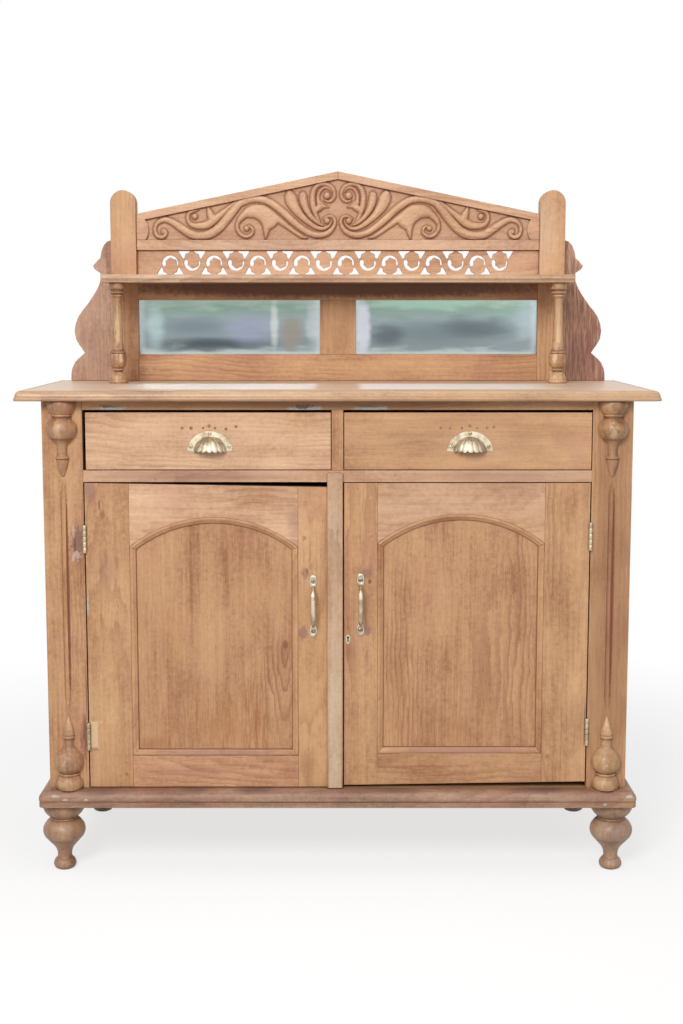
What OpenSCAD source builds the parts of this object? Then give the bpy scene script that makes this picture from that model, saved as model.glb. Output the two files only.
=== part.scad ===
// Buffet cabinet of stripped wood: a two-door, two-drawer cupboard on turned feet,
// with a mirrored upstand, a shelf on turned columns, a pierced gallery and a carved crest.
// Millimetres. X runs left to right, Y front to back, Z up from the floor.

/* [Worktop] */
// Width of the worktop
top_w = 1300; // [1240:1:1500]
// Depth of the worktop
top_d = 500; // [480:1:600]
// Thickness of the worktop
top_t = 21; // [17:0.5:30]
// Height of the worktop's upright lip, below its rounded edge
top_lip = 7; // [4:0.5:10]
// How far in the rounded edge of the worktop runs
top_round = 12; // [6:0.5:20]
// How much the rounded edge of the worktop swells, as a share of its chord
top_swell = 0.18; // [0.05:0.01:0.2]
// How far the worktop stands out in front of the carcass
over_front = 35; // [33:1:60]
// How far the worktop stands out at each side of the carcass
over_side = 50; // [24:1:70]
// How far the worktop stands out behind the carcass
over_back = 10; // [4:1:30]

/* [Carcass] */
// Height from the floor to the underside of the plinth
foot_h = 147; // [110:1:200]
// Height of the plinth moulding
plinth_h = 34.5; // [28:0.5:50]
// How far in the rounded part of the plinth runs
plinth_round = 17; // [12:0.5:20]
// Height of the plinth's lower band
plinth_band = 12; // [8:0.5:14]
// How far the lower band is set back
plinth_set = 1; // [0.6:0.1:1.5]
// Height at which the plinth starts to round off
plinth_nose = 16; // [15.5:0.5:20]
// How far the plinth stands out in front
plinth_front = 32; // [28:0.5:34]
// How far the plinth stands out at the sides
plinth_side = 20.5; // [20.5:0.5:30]
// Height of the door opening
door_open_h = 641.5; // [560:0.5:760]
// Height of the rail between doors and drawers
mid_rail_h = 24; // [18:1:40]
// Height of the drawer opening
drawer_open_h = 123; // [100:1:160]
// Height of the rail over the drawers
top_rail_h = 19; // [14:1:30]
// Width of the front uprights
upright_w = 82; // [72:1:100]
// Thickness of the front uprights, and of the doors' frames
front_t = 22; // [20:0.5:28]
// Thickness of the carcass side boards
side_t = 20; // [14:1:26]
// Width of the post between the drawers
divider_w = 24; // [18:1:40]
// Depth of the front rails, front to back
rail_d = 60; // [40:1:80]
// Thickness of the back boards
back_t = 10; // [8:0.5:14]
// Number of boards in the back
back_count = 6; // [4:1:8]
// Gap between neighbouring back boards
back_gap = 1; // [0.6:0.2:3]
// Thickness of the cupboard's bottom board
floor_t = 16; // [12:0.5:20]
// Depth of the two base rails that the feet are set in
base_rail_d = 90; // [80:1:140]
// Height of the inner shelf over the bottom board
shelf_height = 318; // [250:1:380]
// Thickness of the inner shelf
inner_shelf_t = 16; // [12:1:22]
// How far the inner shelf stops behind the doors
inner_shelf_back = 50; // [30:1:120]
// Width and height of the battens under the inner shelf
batten = [20, 28];

/* [Feet and half balusters] */
// Greatest radius of a foot
foot_r = 44.5; // [38:0.5:50]
// How far in from the carcass side the front feet stand
foot_in_front = 23; // [10:1:60]
// How far in from the carcass side the back feet stand
foot_in_back = 45; // [10:1:80]
// How far the feet stand in from the carcass front and back
foot_in_depth = [25, 45];
// Radius of the round tenon on top of a foot
tenon_r = 12; // [8:0.5:16]
// Greatest radius of an upper half baluster
upper_bal_r = 32; // [26:0.5:33]
// Height of an upper half baluster
upper_bal_h = 154.5; // [120:0.5:170]
// Greatest radius of a lower half baluster
lower_bal_r = 30; // [26:0.5:33]
// Height of a lower half baluster
lower_bal_h = 153.5; // [120:0.5:170]
// Width of the flute between the half balusters
flute_w = 12; // [8:0.5:20]
// Depth of the flute
flute_depth = 4.5; // [3:0.25:6]
// Distance of the flute's points from the tips of the half balusters
flute_gap = 6; // [2:0.5:20]
// Length of each of the flute's points
flute_point = 34; // [20:1:60]

/* [Doors] */
// Gap at the hinged edge of a door
hinge_gap = 2; // [1.6:0.1:3]
// Gap between the two doors
meet_gap = 2; // [1.4:0.1:3]
// How far right of the middle the doors meet
meet_x = 12; // [0:0.5:16]
// Gaps under the left door, at its hinges and at its free edge
left_under = [1.5, 1.5];
// Gaps over the left door, at its hinges and at its free edge
left_over = [1.5, 10.5];
// Gaps under the right door, at its hinges and at its free edge
right_under = [13, 5.5];
// Gaps over the right door, at its hinges and at its free edge
right_over = [1.5, 1.5];
// Width of the left door's hinged stile
left_hinge_stile_w = 90; // [80:0.5:110]
// Width of the left door's free stile
left_lock_stile_w = 92; // [80:0.5:110]
// Width of the right door's hinged stile
right_hinge_stile_w = 92; // [80:0.5:110]
// Width of the right door's free stile
right_lock_stile_w = 69; // [66:0.5:100]
// Height of the bottom rail of the left door
left_bottom_h = 67; // [50:0.5:100]
// Height of the bottom rail of the right door, from the left door's lower edge
right_bottom_h = 72; // [60:0.5:100]
// Distance of the left arch's crown below the middle rail
left_crown = 72; // [56:0.5:120]
// Distance of the right arch's crown below the middle rail
right_crown = 65.5; // [56:0.5:120]
// Radius of the arch over a door panel
arch_r = 273; // [240:1:400]
// Width of the bevel round a door panel
bevel_w = 13; // [8:0.5:20]
// Depth of the door panel's face below the frame
bevel_d = 7; // [4:0.5:9]
// Thickness of the bevel's inner edge
bevel_lip = 1.5; // [1:0.25:2.5]
// Thickness of a door panel
panel_t = 8; // [6:0.5:10]
// How far a door panel reaches into the grooves of its frame
tongue = 8; // [5:0.5:12]
// Width of the meeting strip on the left door
strip_w = 32; // [24:0.5:45]
// How far the meeting strip stands out
strip_out = 10; // [6:0.5:16]
// How far the meeting strip reaches over the middle rail
strip_over = 19; // [8:0.5:22]
// Play between the meeting strip and the middle rail
strip_play = 0.4; // [0.3:0.1:1]
// Furthest that a door opens, in degrees, up to the lower half baluster
door_open_deg = 130; // [90:5:130]

/* [Hinges, lock and bolt] */
// Height of a butt hinge
hinge_h = 58; // [50:0.5:76]
// Width of a hinge leaf
leaf_w = 20; // [14:0.5:21]
// Thickness of a hinge leaf
leaf_t = 1.5; // [1:0.1:2]
// Radius of a hinge knuckle
knuckle_r = 4; // [3.2:0.1:5]
// Radius of a hinge pin
pin_r = 2; // [1.5:0.1:2.4]
// Play of a moving knuckle round its pin
pin_play = 0.06; // [0.02:0.01:0.1]
// Distance of the knuckles from the door's face
knuckle_gap = 0.4; // [0.3:0.1:1]
// Heights of the left door's hinge centres over the plinth
left_hinges = [110.5, 525];
// Heights of the right door's hinge centres over the plinth
right_hinges = [120.5, 530.5];
// Height and width of the lock case, and its thickness
lock_case_size = [60, 46, 13];
// Thickness of the lock case's far wall
lock_wall = 4; // [2:0.5:8]
// Height of the lock's middle over the plinth
lock_height = 316; // [260:1:400]
// Height and thickness of the lock's bolt
lock_bolt_size = [20, 6];
// How far the lock's bolt shoots
lock_throw = 8; // [6:0.5:10]
// Play round the lock's bolt
bolt_play = 0.3; // [0.3:0.05:0.5]
// Distance of the keyhole from the right door's free edge
keyhole_in = 8.5; // [8:0.5:20]
// Upper and lower radius of the keyhole's plate, and their distances above and below the middle
keyhole_plate = [5.2, 3.6, 4, 6.5];
// Upper radius of the keyhole, half of its slot's width, and their reach above and below
keyhole_size = [2.4, 1, 3, 6];
// Radius of the slide bolt inside the left door
slide_bolt_r = 3; // [2.5:0.1:4]
// Length of the slide bolt
slide_bolt_l = 90; // [70:1:120]
// Height of the two staples that hold the slide bolt, and how far the bolt stands out over them
staple_h = 12; // [8:1:20]
staple_top = 14; // [10:1:30]
// Radius of the slide bolt's knob, and its distance from the bolt
slide_knob = [5, 14];
// How far the slide bolt rises
slide_throw = 18; // [15:0.5:20]

/* [Drawers] */
// Thickness of a drawer front
drawer_front_t = 20; // [16:0.5:24]
// How far the drawer fronts lie back from the uprights
drawer_back = 1; // [0:0.5:3]
// Space between a drawer and the back boards
drawer_behind = 34; // [32:1:80]
// Gap over a drawer front
drawer_gap_top = 5; // [2:0.5:8]
// Gap under a drawer front
drawer_gap_under = 1.5; // [1:0.5:3]
// Gap at the outer end of the left drawer front
drawer_gap_left = 6; // [1:0.5:8]
// Gap at the inner end of each drawer front, and at the outer end of the right one
drawer_gap_end = 1.5; // [1:0.5:3]
// Thickness of the drawer sides and back
drawer_side_t = 12; // [9:0.5:15]
// Thickness of the drawer bottoms
drawer_bottom_t = 6; // [4:0.5:9]
// Height of a drawer bottom over the drawer side's lower edge
drawer_bottom_up = 10; // [6:0.5:16]
// How far the drawer sides stop below the drawer front's upper edge
drawer_side_low = 8; // [4:0.5:20]
// Play between a drawer side and what guides it
slide_play = 0.4; // [0.3:0.05:1]
// How far a runner reaches under a drawer
runner_w = 36; // [20:1:60]
// Height of the guide strip beside a drawer
guide_h = 36; // [20:1:60]
// Width and height of the strip over each drawer that keeps it level when it is open
kicker = [60, 14];
// Furthest that a drawer opens
drawer_open = 320; // [200:5:330]

/* [Pulls] */
// Radius of the back plate of a cup pull
cup_plate_r = 47; // [40:0.5:55]
// Thickness of the back plate of a cup pull
cup_plate_t = 1.5; // [1:0.1:2.5]
// Radius of the ball that a cup pull is shaped on
cup_r = 36; // [30:0.5:40]
// How far in front of the drawer the centre of that ball lies behind
cup_sink = 11; // [8:0.5:16]
// Thickness of a cup pull's shell
cup_wall = 1.5; // [1:0.1:2.5]
// Height of a cup pull's lower edge over the drawer front's lower edge
cup_up = 36; // [20:0.5:60]
// How far right of the drawer front's middle a cup pull sits
cup_shift = 4; // [0:0.5:10]
// Length of a door pull over its end plates
pull_l = 131; // [100:1:170]
// Width and length of a door pull's end plates
pull_plate = [16, 27];
// Thickness of a door pull's end plates
pull_plate_t = 2.5; // [1.5:0.1:4]
// Radius of a door pull's grip
grip_r = 4.5; // [3:0.1:6]
// Distance of the grip's middle line from the door
grip_out = 27; // [20:0.5:34]
// How much shorter the grip is than the space between the plates, at each end
grip_short = 10; // [6:0.5:20]
// Radius of the necks that carry the grip, and how far they stand in from a plate's edge
neck = [3.4, 4];
// Distance of a door pull from the edge of its door
pull_in = [61, 34.5];
// Height of the pulls' middles over the plinth
pull_height = [384.5, 387.5];

/* [Upstand] */
// Distance from the upstand's face to the worktop's back edge
face_back = 28; // [24:0.5:40]
// Thickness of the mirror frame
mirror_frame_t = 14; // [12:0.5:18]
// Half of the width of the upstand between its wings
half_w = 513.5; // [480:0.5:560]
// Height of the mirror frame's bottom rail
mirror_low_h = 60.5; // [50:0.5:80]
// Height of the mirrors
mirror_h = 123.5; // [100:0.5:160]
// Height of the mirror frame's top rail
mirror_top_h = 37; // [28:0.5:50]
// Width of the outer uprights of the mirror frame, and of the posts
post_w = 57; // [46:0.5:70]
// Width of the upright between the mirrors
muntin_w = 82; // [60:0.5:110]
// Thickness of the mirrors
mirror_t = 4; // [3:0.5:5]
// How far the mirrors reach behind their frame
mirror_lap = 6; // [4:0.5:10]
// How far the board behind the mirrors reaches past their openings
backing_lap = 24; // [12:1:38]
// Thickness of the board behind the mirrors
backing_t = 6; // [4:0.5:8]
// Thickness of the upper shelf
shelf_t = 17.5; // [14:0.5:24]
// Height of the rounding above and below the upper shelf's front edge, and its swell
shelf_nose = [4.4, 1.2];
// Depth of the upper shelf
shelf_d = 167; // [140:1:200]
// How far the upper shelf stands out beyond the posts
shelf_over = 4.5; // [3:0.5:12]
// How far the columns stand in from the ends of the upstand
column_in = 26; // [22:0.5:40]
// How far the columns stand behind the shelf's front edge
column_back = 30; // [22:0.5:50]
// Greatest radius of a column
column_r = 20.5; // [16:0.5:22]

/* [Gallery and crest] */
// Height of the pierced gallery
fret_h = 57.5; // [50:0.5:70]
// Thickness of the pierced gallery
fret_t = 12; // [8:0.5:16]
// Number of leaves in the gallery
fret_count = 16; // [8:1:16]
// Distance from leaf to leaf
fret_pitch = 50; // [44:0.5:52]
// How far left of the middle the row of leaves lies
fret_shift = 7; // [0:0.5:10]
// Height of the middle of the slot round a leaf
slot_up = 27.5; // [26:0.5:30]
// Outer radius of the slot round a leaf
slot_r = 18.5; // [16:0.25:19]
// Width of the slot round a leaf
slot_w = 6; // [4:0.25:8]
// How much wider a slot is at its left end than at its top, and narrower at its right end
slot_taper = 2.6; // [0:0.1:2.8]
// Depth of the notches between the lobes of a leaf
leaf_notch = 0.8; // [0:0.1:1]
// How far round its leaf a slot runs, in degrees
slot_spread = 190; // [170:5:210]
// Height of the posts over the upper shelf
post_h = 190.5; // [160:0.5:230]
// How far the posts stand in from the upstand's back
post_in = 2; // [0:0.5:4]
// Thickness of the posts
post_t = 40; // [30:0.5:44]
// How far the crest and the gallery stand behind the posts' faces
crest_in = 16; // [12:0.5:24]
// Thickness of the crest board
crest_t = 14; // [10:0.5:18]
// Height of the crest's bottom rail
crest_rail_h = 22.5; // [16:0.5:32]
// Height of the carved field at its ends
field_end_h = 45.5; // [36:0.5:60]
// Height of the carved field in its middle
field_mid_h = 135.5; // [110:0.5:150]
// Upright thickness of the sloping rails
slope_h = 17; // [12:0.5:24]
// How far the crest's rails stand out over the carved field
crest_out = 8; // [5:0.5:12]
// Width of the crest's end blocks, and how far their faces bulge
end_block = [20, 8];
// Height of the carving over its field
carve_h = 6; // [3:0.5:8]
// Furthest that a wing stands out from the upstand
wing_w = 99.5; // [70:0.5:120]
// Height of a wing
wing_h = 319.7; // [300:0.5:340]
// Thickness of a wing
wing_t = 20; // [14:0.5:24]

/* [Hidden] */
$fn = 64;
hair = 0.2;

// Heights of the carcass, from the floor up
plinth_z = foot_h + plinth_h;
mid_z = plinth_z + door_open_h;
runner_z = mid_z + mid_rail_h;
drawer_top_z = runner_z + drawer_open_h;
under_z = drawer_top_z + top_rail_h;
top_z = under_z + top_t;

// Heights of the upstand
glass_z = top_z + mirror_low_h;
glass_top_z = glass_z + mirror_h;
shelf_z = glass_top_z + mirror_top_h;
gallery_z = shelf_z + shelf_t;
crest_z = gallery_z + fret_h;
field_z = crest_z + crest_rail_h;

// Places across the width and the depth
body_x = top_w / 2 - over_side;
open_x = body_x - upright_w;
inside_x = body_x - side_t;
front_y = -top_d / 2 + over_front;
back_y = top_d / 2 - over_back;
door_back_y = front_y + front_t;
boards_y = back_y - back_t;
face_y = top_d / 2 - face_back;
shelf_back_y = face_y + wing_t;
upright_x = body_x - upright_w / 2;
column_x = half_w - column_in;
column_y = shelf_back_y - shelf_d + column_back;
post_y = shelf_back_y - post_in - post_t;
crest_y = post_y + crest_in;
gallery_half = half_w - post_w;

// The field of the crest: its end blocks, its middle, and the slope of its rails
field_x = gallery_half - end_block[0];
slope = (field_mid_h - field_end_h) / field_x;

// Hinge lines: a little in front of the door faces, in the middle of the gap
hinge_x = open_x - hinge_gap / 2;
hinge_y = front_y - knuckle_gap - knuckle_r;

// A door is [side, hinge edge, free edge, gaps under, gaps over, hinged stile, free stile,
// bottom rail, how low the arch's crown lies]; side is -1 on the left and 1 on the right
left_door = [-1, -open_x + hinge_gap, meet_x - meet_gap / 2, left_under, left_over,
    left_hinge_stile_w, left_lock_stile_w, left_bottom_h, left_crown];
right_door = [1, open_x - hinge_gap, meet_x + meet_gap / 2, right_under, right_over,
    right_hinge_stile_w, right_lock_stile_w, right_bottom_h, right_crown];

// A drawer is [side, its front's left end, its front's right end]
left_drawer = [-1, -open_x + drawer_gap_left, -divider_w / 2 - drawer_gap_end];
right_drawer = [1, divider_w / 2 + drawer_gap_end, open_x - drawer_gap_end];

// Turned shapes, from the lower end up: [height, radius, swell of the arc that leads there]
FOOT = [[0, 17, 0], [4, 21.5, 1], [16, 22.5, 1.8], [23, 17.5, 0.8], [30, 14.8, -0.4],
    [42, 17.2, -0.6], [52, 23.6, -0.5], [68, 38, 0], [99, 39.5, 5.6], [108, 31, 0.5],
    [110, 28.8, 0], [113, 28.8, 0], [115, 30.5, 0], [131, 43, 1.5], [147, 43, 0.8]];
UPPER = [[0, 0, 0], [1, 3.5, 0.5], [34.5, 12.6, 1.1], [35.3, 11.8, 0], [36.5, 11.8, 0], [37, 13.3, 0],
    [40.5, 13.3, 0.5], [43.5, 11, 0], [49, 9.6, -0.5], [60, 10.3, -0.2], [68, 12.8, -0.6],
    [77.3, 22.4, 0], [96, 31.6, 1.8], [113.8, 23, 2.3], [119, 17.8, 0], [122.5, 17.8, 0],
    [123.2, 20, 0], [127, 20.4, 0.3], [140, 28.4, 0.8], [154.5, 28, 1.2]];
LOWER = [[0, 26.5, 0], [10, 28.4, 0.8], [26.5, 21, 1.8], [27.5, 19.6, 0], [28.5, 19.6, 0],
    [29, 20.2, 0], [33, 20.2, 0.5], [33.5, 19.2, 0], [35, 19.4, 0], [56, 30, 3.1], [73, 25, 1.2],
    [84.5, 14, 0.3], [92, 10.9, -0.6], [106.5, 10.4, -0.2], [107.3, 12.6, 0.2], [111.5, 12.9, 0.5],
    [112.3, 12, 0], [120, 12.4, 0.5], [153.5, 0, 1.3]];
COLUMN = [[0, 20.5, 0], [6, 20.5, 0], [16, 18.2, 0.8], [24.5, 12.2, 0.8], [25, 10.5, 0],
    [27.5, 10.5, 0], [28.2, 12.5, 0], [32.6, 12.5, 0.8], [33.2, 11.5, 0], [34.2, 12.8, 0],
    [46, 18.4, 1.6], [62, 18.4, 0.5], [65, 17.4, 0.2], [65.6, 16.2, 0], [66.4, 16.2, 0],
    [67, 17.6, 0], [69.6, 17.6, 0.5], [70.4, 15.6, 0], [84, 12.8, -0.7], [100, 11, -0.2],
    [186, 9.6, 0], [190, 10.6, -0.3], [191, 12, 0], [195, 12, 0.6], [196, 11, 0], [198, 15.9, 0],
    [201.6, 15.9, 0.8], [202.4, 14.4, 0], [205.4, 14.4, 0], [206.2, 17.2, 0], [214, 17.6, 1],
    [221, 17, 0.3]];

// Outline of a wing from its foot up: [distance out, height]
WING = [[99.5, 0], [99, 18], [96.5, 29], [91, 41], [83, 50], [73.5, 58], [67, 64], [71, 70], [80, 83],
    [86.5, 95], [89.5, 113], [87, 129], [81, 145], [71.5, 159], [60, 172.5], [50.5, 186],
    [41, 200], [32.5, 215.5], [28.5, 227], [28, 245], [40, 252.5], [44.5, 260.5], [35, 272],
    [27.5, 278.5], [26, 288], [23, 299], [18.5, 308], [11.5, 315.5], [0, 319.7]];

// The hole at the right of a leaf's stem, from the leaf's middle and foot
STEM_HOLE = [[3.5, 2], [31, 2], [21, 19], [17, 17], [15, 8.5], [9, 6]];

// Carved strokes of the crest's right half: [distance from the middle, height over the
// field's lower edge, width], and after them the eyes of their volutes
FIELD_SIZE = [436.5, 135.5];
STROKES = [
    [[387, 17, 6], [397, 5, 8], [411, 17, 9], [404, 39, 11], [390, 45, 13], [362, 36, 18],
        [332, 18, 21], [301, 12, 21], [270, 24, 20], [240, 56, 20], [215, 79, 17], [184, 87, 16],
        [154, 85, 18], [123, 62, 17], [93, 37, 16], [62, 18, 14], [35, 12, 13], [17, 20, 11],
        [9, 36, 9], [14, 48, 7], [24, 50, 6], [31, 42, 5]],
    [[232, 82, 3], [247, 63, 6], [262, 48, 9], [278, 38, 11], [300, 34, 12], [322, 35, 12],
        [334, 43, 10], [337, 54, 8], [331, 62, 7], [322, 62, 6], [315, 56, 5]],
    [[292, 71, 4], [292, 61, 6], [281, 53, 9], [268, 54, 8], [255, 63, 5], [244, 73, 3]],
    [[136, 33, 3], [145, 46, 13], [162, 57, 19], [180, 60, 21], [197, 58, 17], [211, 50, 13],
        [219, 38, 10], [220, 24, 9], [213, 11, 8], [202, 8, 8], [193, 14, 7], [191, 24, 5]],
    [[166, 52, 14], [166, 37, 12], [165, 21, 9], [164, 4, 2]],
    [[112, 107, 2], [110, 95, 14], [104, 79, 17], [93, 65, 14], [81, 51, 10], [66, 38, 7],
        [50, 29, 5]],
    [[78, 104, 7], [78, 91, 12], [74, 77, 11], [67, 61, 9], [56, 47, 7], [43, 36, 5]],
    [[36, 34, 3], [46, 47, 8], [54, 62, 10], [58, 79, 11], [57, 95, 11], [50, 109, 11],
        [38, 118, 10], [24, 120, 9], [12, 114, 9], [7, 103, 8], [11, 92, 7], [20, 88, 6],
        [28, 93, 5]],
    [[42, 103, 3], [43, 89, 6], [38, 77, 7], [21, 71, 2]],
    [[139, 46, 6], [122, 32, 8], [101, 19, 7], [84, 9, 6], [70, 4, 3]]];
EYES = [[396, 20], [323, 52], [203, 23], [21, 104], [22, 37]];
EYE_R = 4.5;

// A box between two corners
module board(low, high) {
    translate(low)
        cube(high - low);
}

// A flat shape drawn in X and Z, stood up with its front at y and its back t behind
module stood(y, t) {
    translate([0, y + t, 0])
        rotate([90, 0, 0])
            linear_extrude(height = t)
                children();
}

// The same piece at the left and at the right
module pair() {
    children();
    mirror([1, 0, 0])
        children();
}

// Points on the arc from a to b that swells by s on its outer side
function arc_points(a, b, s, steps) = s == 0 ? [b] :
    let (d = b - a, chord = norm(d), u = d / chord, out = [u[1], -u[0]],
        half = 2 * atan(2 * s / chord), r = chord / (2 * sin(half)))
    [for (i = [1:steps]) let (t = -half + 2 * half * i / steps)
        (a + b) / 2 + u * r * sin(t) + out * r * (cos(t) - cos(half))];

function last_height(keys) = keys[len(keys) - 1][0];

// Keys as [radius, height, swell], stretched by kr and kz
function stretched(keys, kr, kz) = [for (k = keys) [k[1] * kr, k[0] * kz, k[2] * kr]];

// Points of the outline from the second key on
function outline(k) = [for (i = [1:len(k) - 1])
    each arc_points([k[i - 1][0], k[i - 1][1]], [k[i][0], k[i][1]], k[i][2], 8)];
function widest(keys) = max([for (p = outline(stretched(keys, 1, 1))) p[0]]);

// A turned piece standing on the origin, stretched to a height h and a greatest radius r
module turned(keys, h, r) {
    k = stretched(keys, r / widest(keys), h / last_height(keys));
    rotate_extrude()
        polygon(concat([[0, 0], [k[0][0], 0]], outline(k), [[0, h]]));
}

// The front half of a turned piece, planted on the face of a front upright
module half_turned(keys, h, r) {
    intersection() {
        turned(keys, h, r);
        board([-2 * r, -2 * r, 0], [2 * r, 0, h]);
    }
}

// WORKTOP
// Edge of the worktop in section: an upright lip and a quarter round over it
module top_section(run, square_end) {
    rise = [-top_round, top_t - top_lip];
    edge = arc_points([run, top_lip], [run, top_lip] + rise, top_swell * norm(rise), 10);
    far = square_end ? [[-run, top_t], [-run, 0]] :
        concat([for (i = [9:-1:0]) [-edge[i][0], edge[i][1]]], [[-run, top_lip], [-run, 0]]);
    polygon(concat([[run, 0], [run, top_lip]], edge, far));
}

module worktop() {
    color("burlywood")
        translate([0, 0, under_z])
            intersection() {
                rotate([90, 0, 0])
                    translate([0, 0, -top_d])
                        linear_extrude(height = 2 * top_d)
                            top_section(top_w / 2, false);
                rotate([90, 0, -90])
                    translate([0, 0, -top_w])
                        linear_extrude(height = 2 * top_w)
                            top_section(top_d / 2, true);
            }
}

// CARCASS
module side_panels() {
    color("tan")
        pair()
            board([inside_x, door_back_y, foot_h + plinth_h - floor_t], [body_x, back_y, under_z]);
}

// The flute of a front upright: a round groove that runs out in a point at each end
module flute() {
    r = (flute_w * flute_w / 4 + flute_depth * flute_depth) / (2 * flute_depth);
    low = plinth_z + lower_bal_h + flute_gap;
    high = under_z - upper_bal_h - flute_gap;
    translate([upright_x, front_y - r + flute_depth, 0]) {
        translate([0, 0, low + flute_point])
            cylinder(h = high - low - 2 * flute_point, r = r);
        translate([0, 0, low])
            cylinder(h = flute_point, r1 = r - flute_depth, r2 = r);
        translate([0, 0, high - flute_point])
            cylinder(h = flute_point, r1 = r, r2 = r - flute_depth);
    }
}

// Room let into the upright's edge for one hinge leaf; z is the hinge's middle
module leaf_seat(z) {
    board([open_x - 1, front_y, z - hinge_h / 2],
        [hinge_x + hair + leaf_t, front_y + leaf_w, z + hinge_h / 2]);
}

module front_upright(hinges) {
    difference() {
        board([open_x, front_y, plinth_z - floor_t], [body_x, door_back_y, under_z]);
        flute();
        for (h = hinges)
            leaf_seat(plinth_z + h);
    }
}

module front_uprights() {
    color("peru") {
        front_upright(right_hinges);
        mirror([1, 0, 0])
            front_upright(left_hinges);
    }
}

module top_rail() {
    color("burlywood")
        board([-open_x, front_y, drawer_top_z], [open_x, front_y + rail_d, under_z]);
}

module drawer_divider() {
    color("burlywood")
        board([-divider_w / 2, front_y, runner_z], [divider_w / 2, front_y + rail_d, drawer_top_z]);
}

// Middle line of the slide bolt, from the left door's free edge and back
slide_x = left_door[2] - left_lock_stile_w / 2;
slide_y = door_back_y + leaf_t + bolt_play + slide_bolt_r;

module mid_rail() {
    color("burlywood")
        difference() {
            board([-open_x, front_y, mid_z], [open_x, front_y + rail_d, runner_z]);
            translate([slide_x, slide_y, mid_z - 1])
                cylinder(h = slide_throw, r = slide_bolt_r + bolt_play);
        }
}

module cupboard_floor() {
    color("tan")
        translate([0, 0, plinth_z - floor_t])
            linear_extrude(height = floor_t) {
                translate([-open_x, front_y])
                    square([2 * open_x, rail_d]);
                translate([-inside_x, door_back_y])
                    square([2 * inside_x, boards_y - door_back_y]);
            }
}

// Section of the plinth moulding: run is how far it stands out
module plinth_section(run) {
    nose = arc_points([run, plinth_nose], [run - plinth_round, plinth_h], plinth_round / 4, 8);
    polygon(concat([[0, 0], [run - plinth_set, 0], [run - plinth_set, plinth_band],
        [run - 2 * plinth_set, plinth_band + plinth_set], [run, plinth_band + 2 * plinth_set],
        [run, plinth_nose]], nose, [[0, plinth_h]]));
}

// The front length and the two side lengths meet in mitres
module plinth_moulding() {
    turn = plinth_side - plinth_front;
    color("rosybrown") {
        translate([0, front_y, foot_h])
            intersection() {
                rotate([90, 0, -90])
                    translate([0, 0, -top_w])
                        linear_extrude(height = 2 * top_w)
                            plinth_section(plinth_front);
                linear_extrude(height = plinth_h)
                    polygon([[hair - body_x, 0], [body_x - hair, 0], [body_x - hair, turn],
                        [body_x + plinth_side - hair, -plinth_front],
                        [hair - body_x - plinth_side, -plinth_front], [hair - body_x, turn]]);
            }
        pair()
            translate([body_x, 0, foot_h])
                intersection() {
                    rotate([90, 0, 0])
                        translate([0, 0, -top_d])
                            linear_extrude(height = 2 * top_d)
                                plinth_section(plinth_side);
                    linear_extrude(height = plinth_h)
                        polygon([[0, front_y + turn + hair], [plinth_side, front_y - plinth_front + hair],
                            [plinth_side, back_y], [0, back_y]]);
                }
    }
}

// The places of the feet: [distance from the middle, place front to back]
foot_places = [[body_x - foot_in_front, front_y + foot_in_depth[0]],
    [body_x - foot_in_back, back_y - foot_in_depth[1]]];

module base_rails() {
    color("tan")
        for (i = [0, 1])
            difference() {
                y = i == 0 ? front_y : back_y - base_rail_d;
                board([-body_x, y, foot_h], [body_x, y + base_rail_d, plinth_z - floor_t]);
                for (s = [-1, 1])
                    translate([s * foot_places[i][0], foot_places[i][1], foot_h - 1])
                        cylinder(h = plinth_h, r = tenon_r);
            }
}

module feet() {
    color("peru")
        pair()
            for (p = foot_places)
                translate([p[0], p[1], 0]) {
                    turned(FOOT, foot_h, foot_r);
                    cylinder(h = plinth_z - floor_t, r = tenon_r);
                }
}

module upper_half_balusters() {
    color("sandybrown")
        pair()
            translate([upright_x, front_y, under_z - upper_bal_h])
                half_turned(UPPER, upper_bal_h, upper_bal_r);
}

module lower_half_balusters() {
    color("sandybrown")
        pair()
            translate([upright_x, front_y, plinth_z])
                half_turned(LOWER, lower_bal_h, lower_bal_r);
}

// Runner between two places across, with a guide strip on it
module runner(x0, x1, g0, g1) {
    low = door_back_y + rail_d - front_t + hair;
    board([x0, low, mid_z], [x1, boards_y - rail_d - hair, runner_z]);
    board([g0, low, runner_z], [g1, boards_y - rail_d - hair, runner_z + guide_h]);
}

module drawer_runners() {
    inner = left_drawer[2] + slide_play;
    color("tan") {
        runner(-inside_x, left_drawer[1] + runner_w, -inside_x, left_drawer[1] - slide_play);
        runner(right_drawer[2] - runner_w, inside_x, right_drawer[2] + slide_play, inside_x);
        runner(inner - runner_w, -inner + runner_w, inner, -inner);
        board([-inside_x, boards_y - rail_d, mid_z], [inside_x, boards_y, runner_z]);
        for (x = [left_drawer[1] + left_drawer[2], right_drawer[1] + right_drawer[2]] / 2)
            board([x - kicker[0] / 2, front_y + rail_d + hair, under_z - kicker[1]],
                [x + kicker[0] / 2, boards_y, under_z]);
    }
}

module back_boards() {
    w = 2 * inside_x / back_count;
    color("tan")
        for (i = [0:back_count - 1])
            board([-inside_x + i * w + (i == 0 ? 0 : back_gap / 2), boards_y, plinth_z - floor_t],
                [-inside_x + (i + 1) * w - (i == back_count - 1 ? 0 : back_gap / 2), back_y,
                under_z]);
}

module inner_shelf() {
    z = plinth_z + shelf_height;
    color("tan")
        board([-inside_x, door_back_y + inner_shelf_back, z], [inside_x, boards_y, z + inner_shelf_t]);
}

module shelf_battens() {
    z = plinth_z + shelf_height;
    color("tan")
        pair()
            board([inside_x - batten[0], door_back_y + inner_shelf_back, z - batten[1]],
                [inside_x, boards_y, z]);
}

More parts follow.
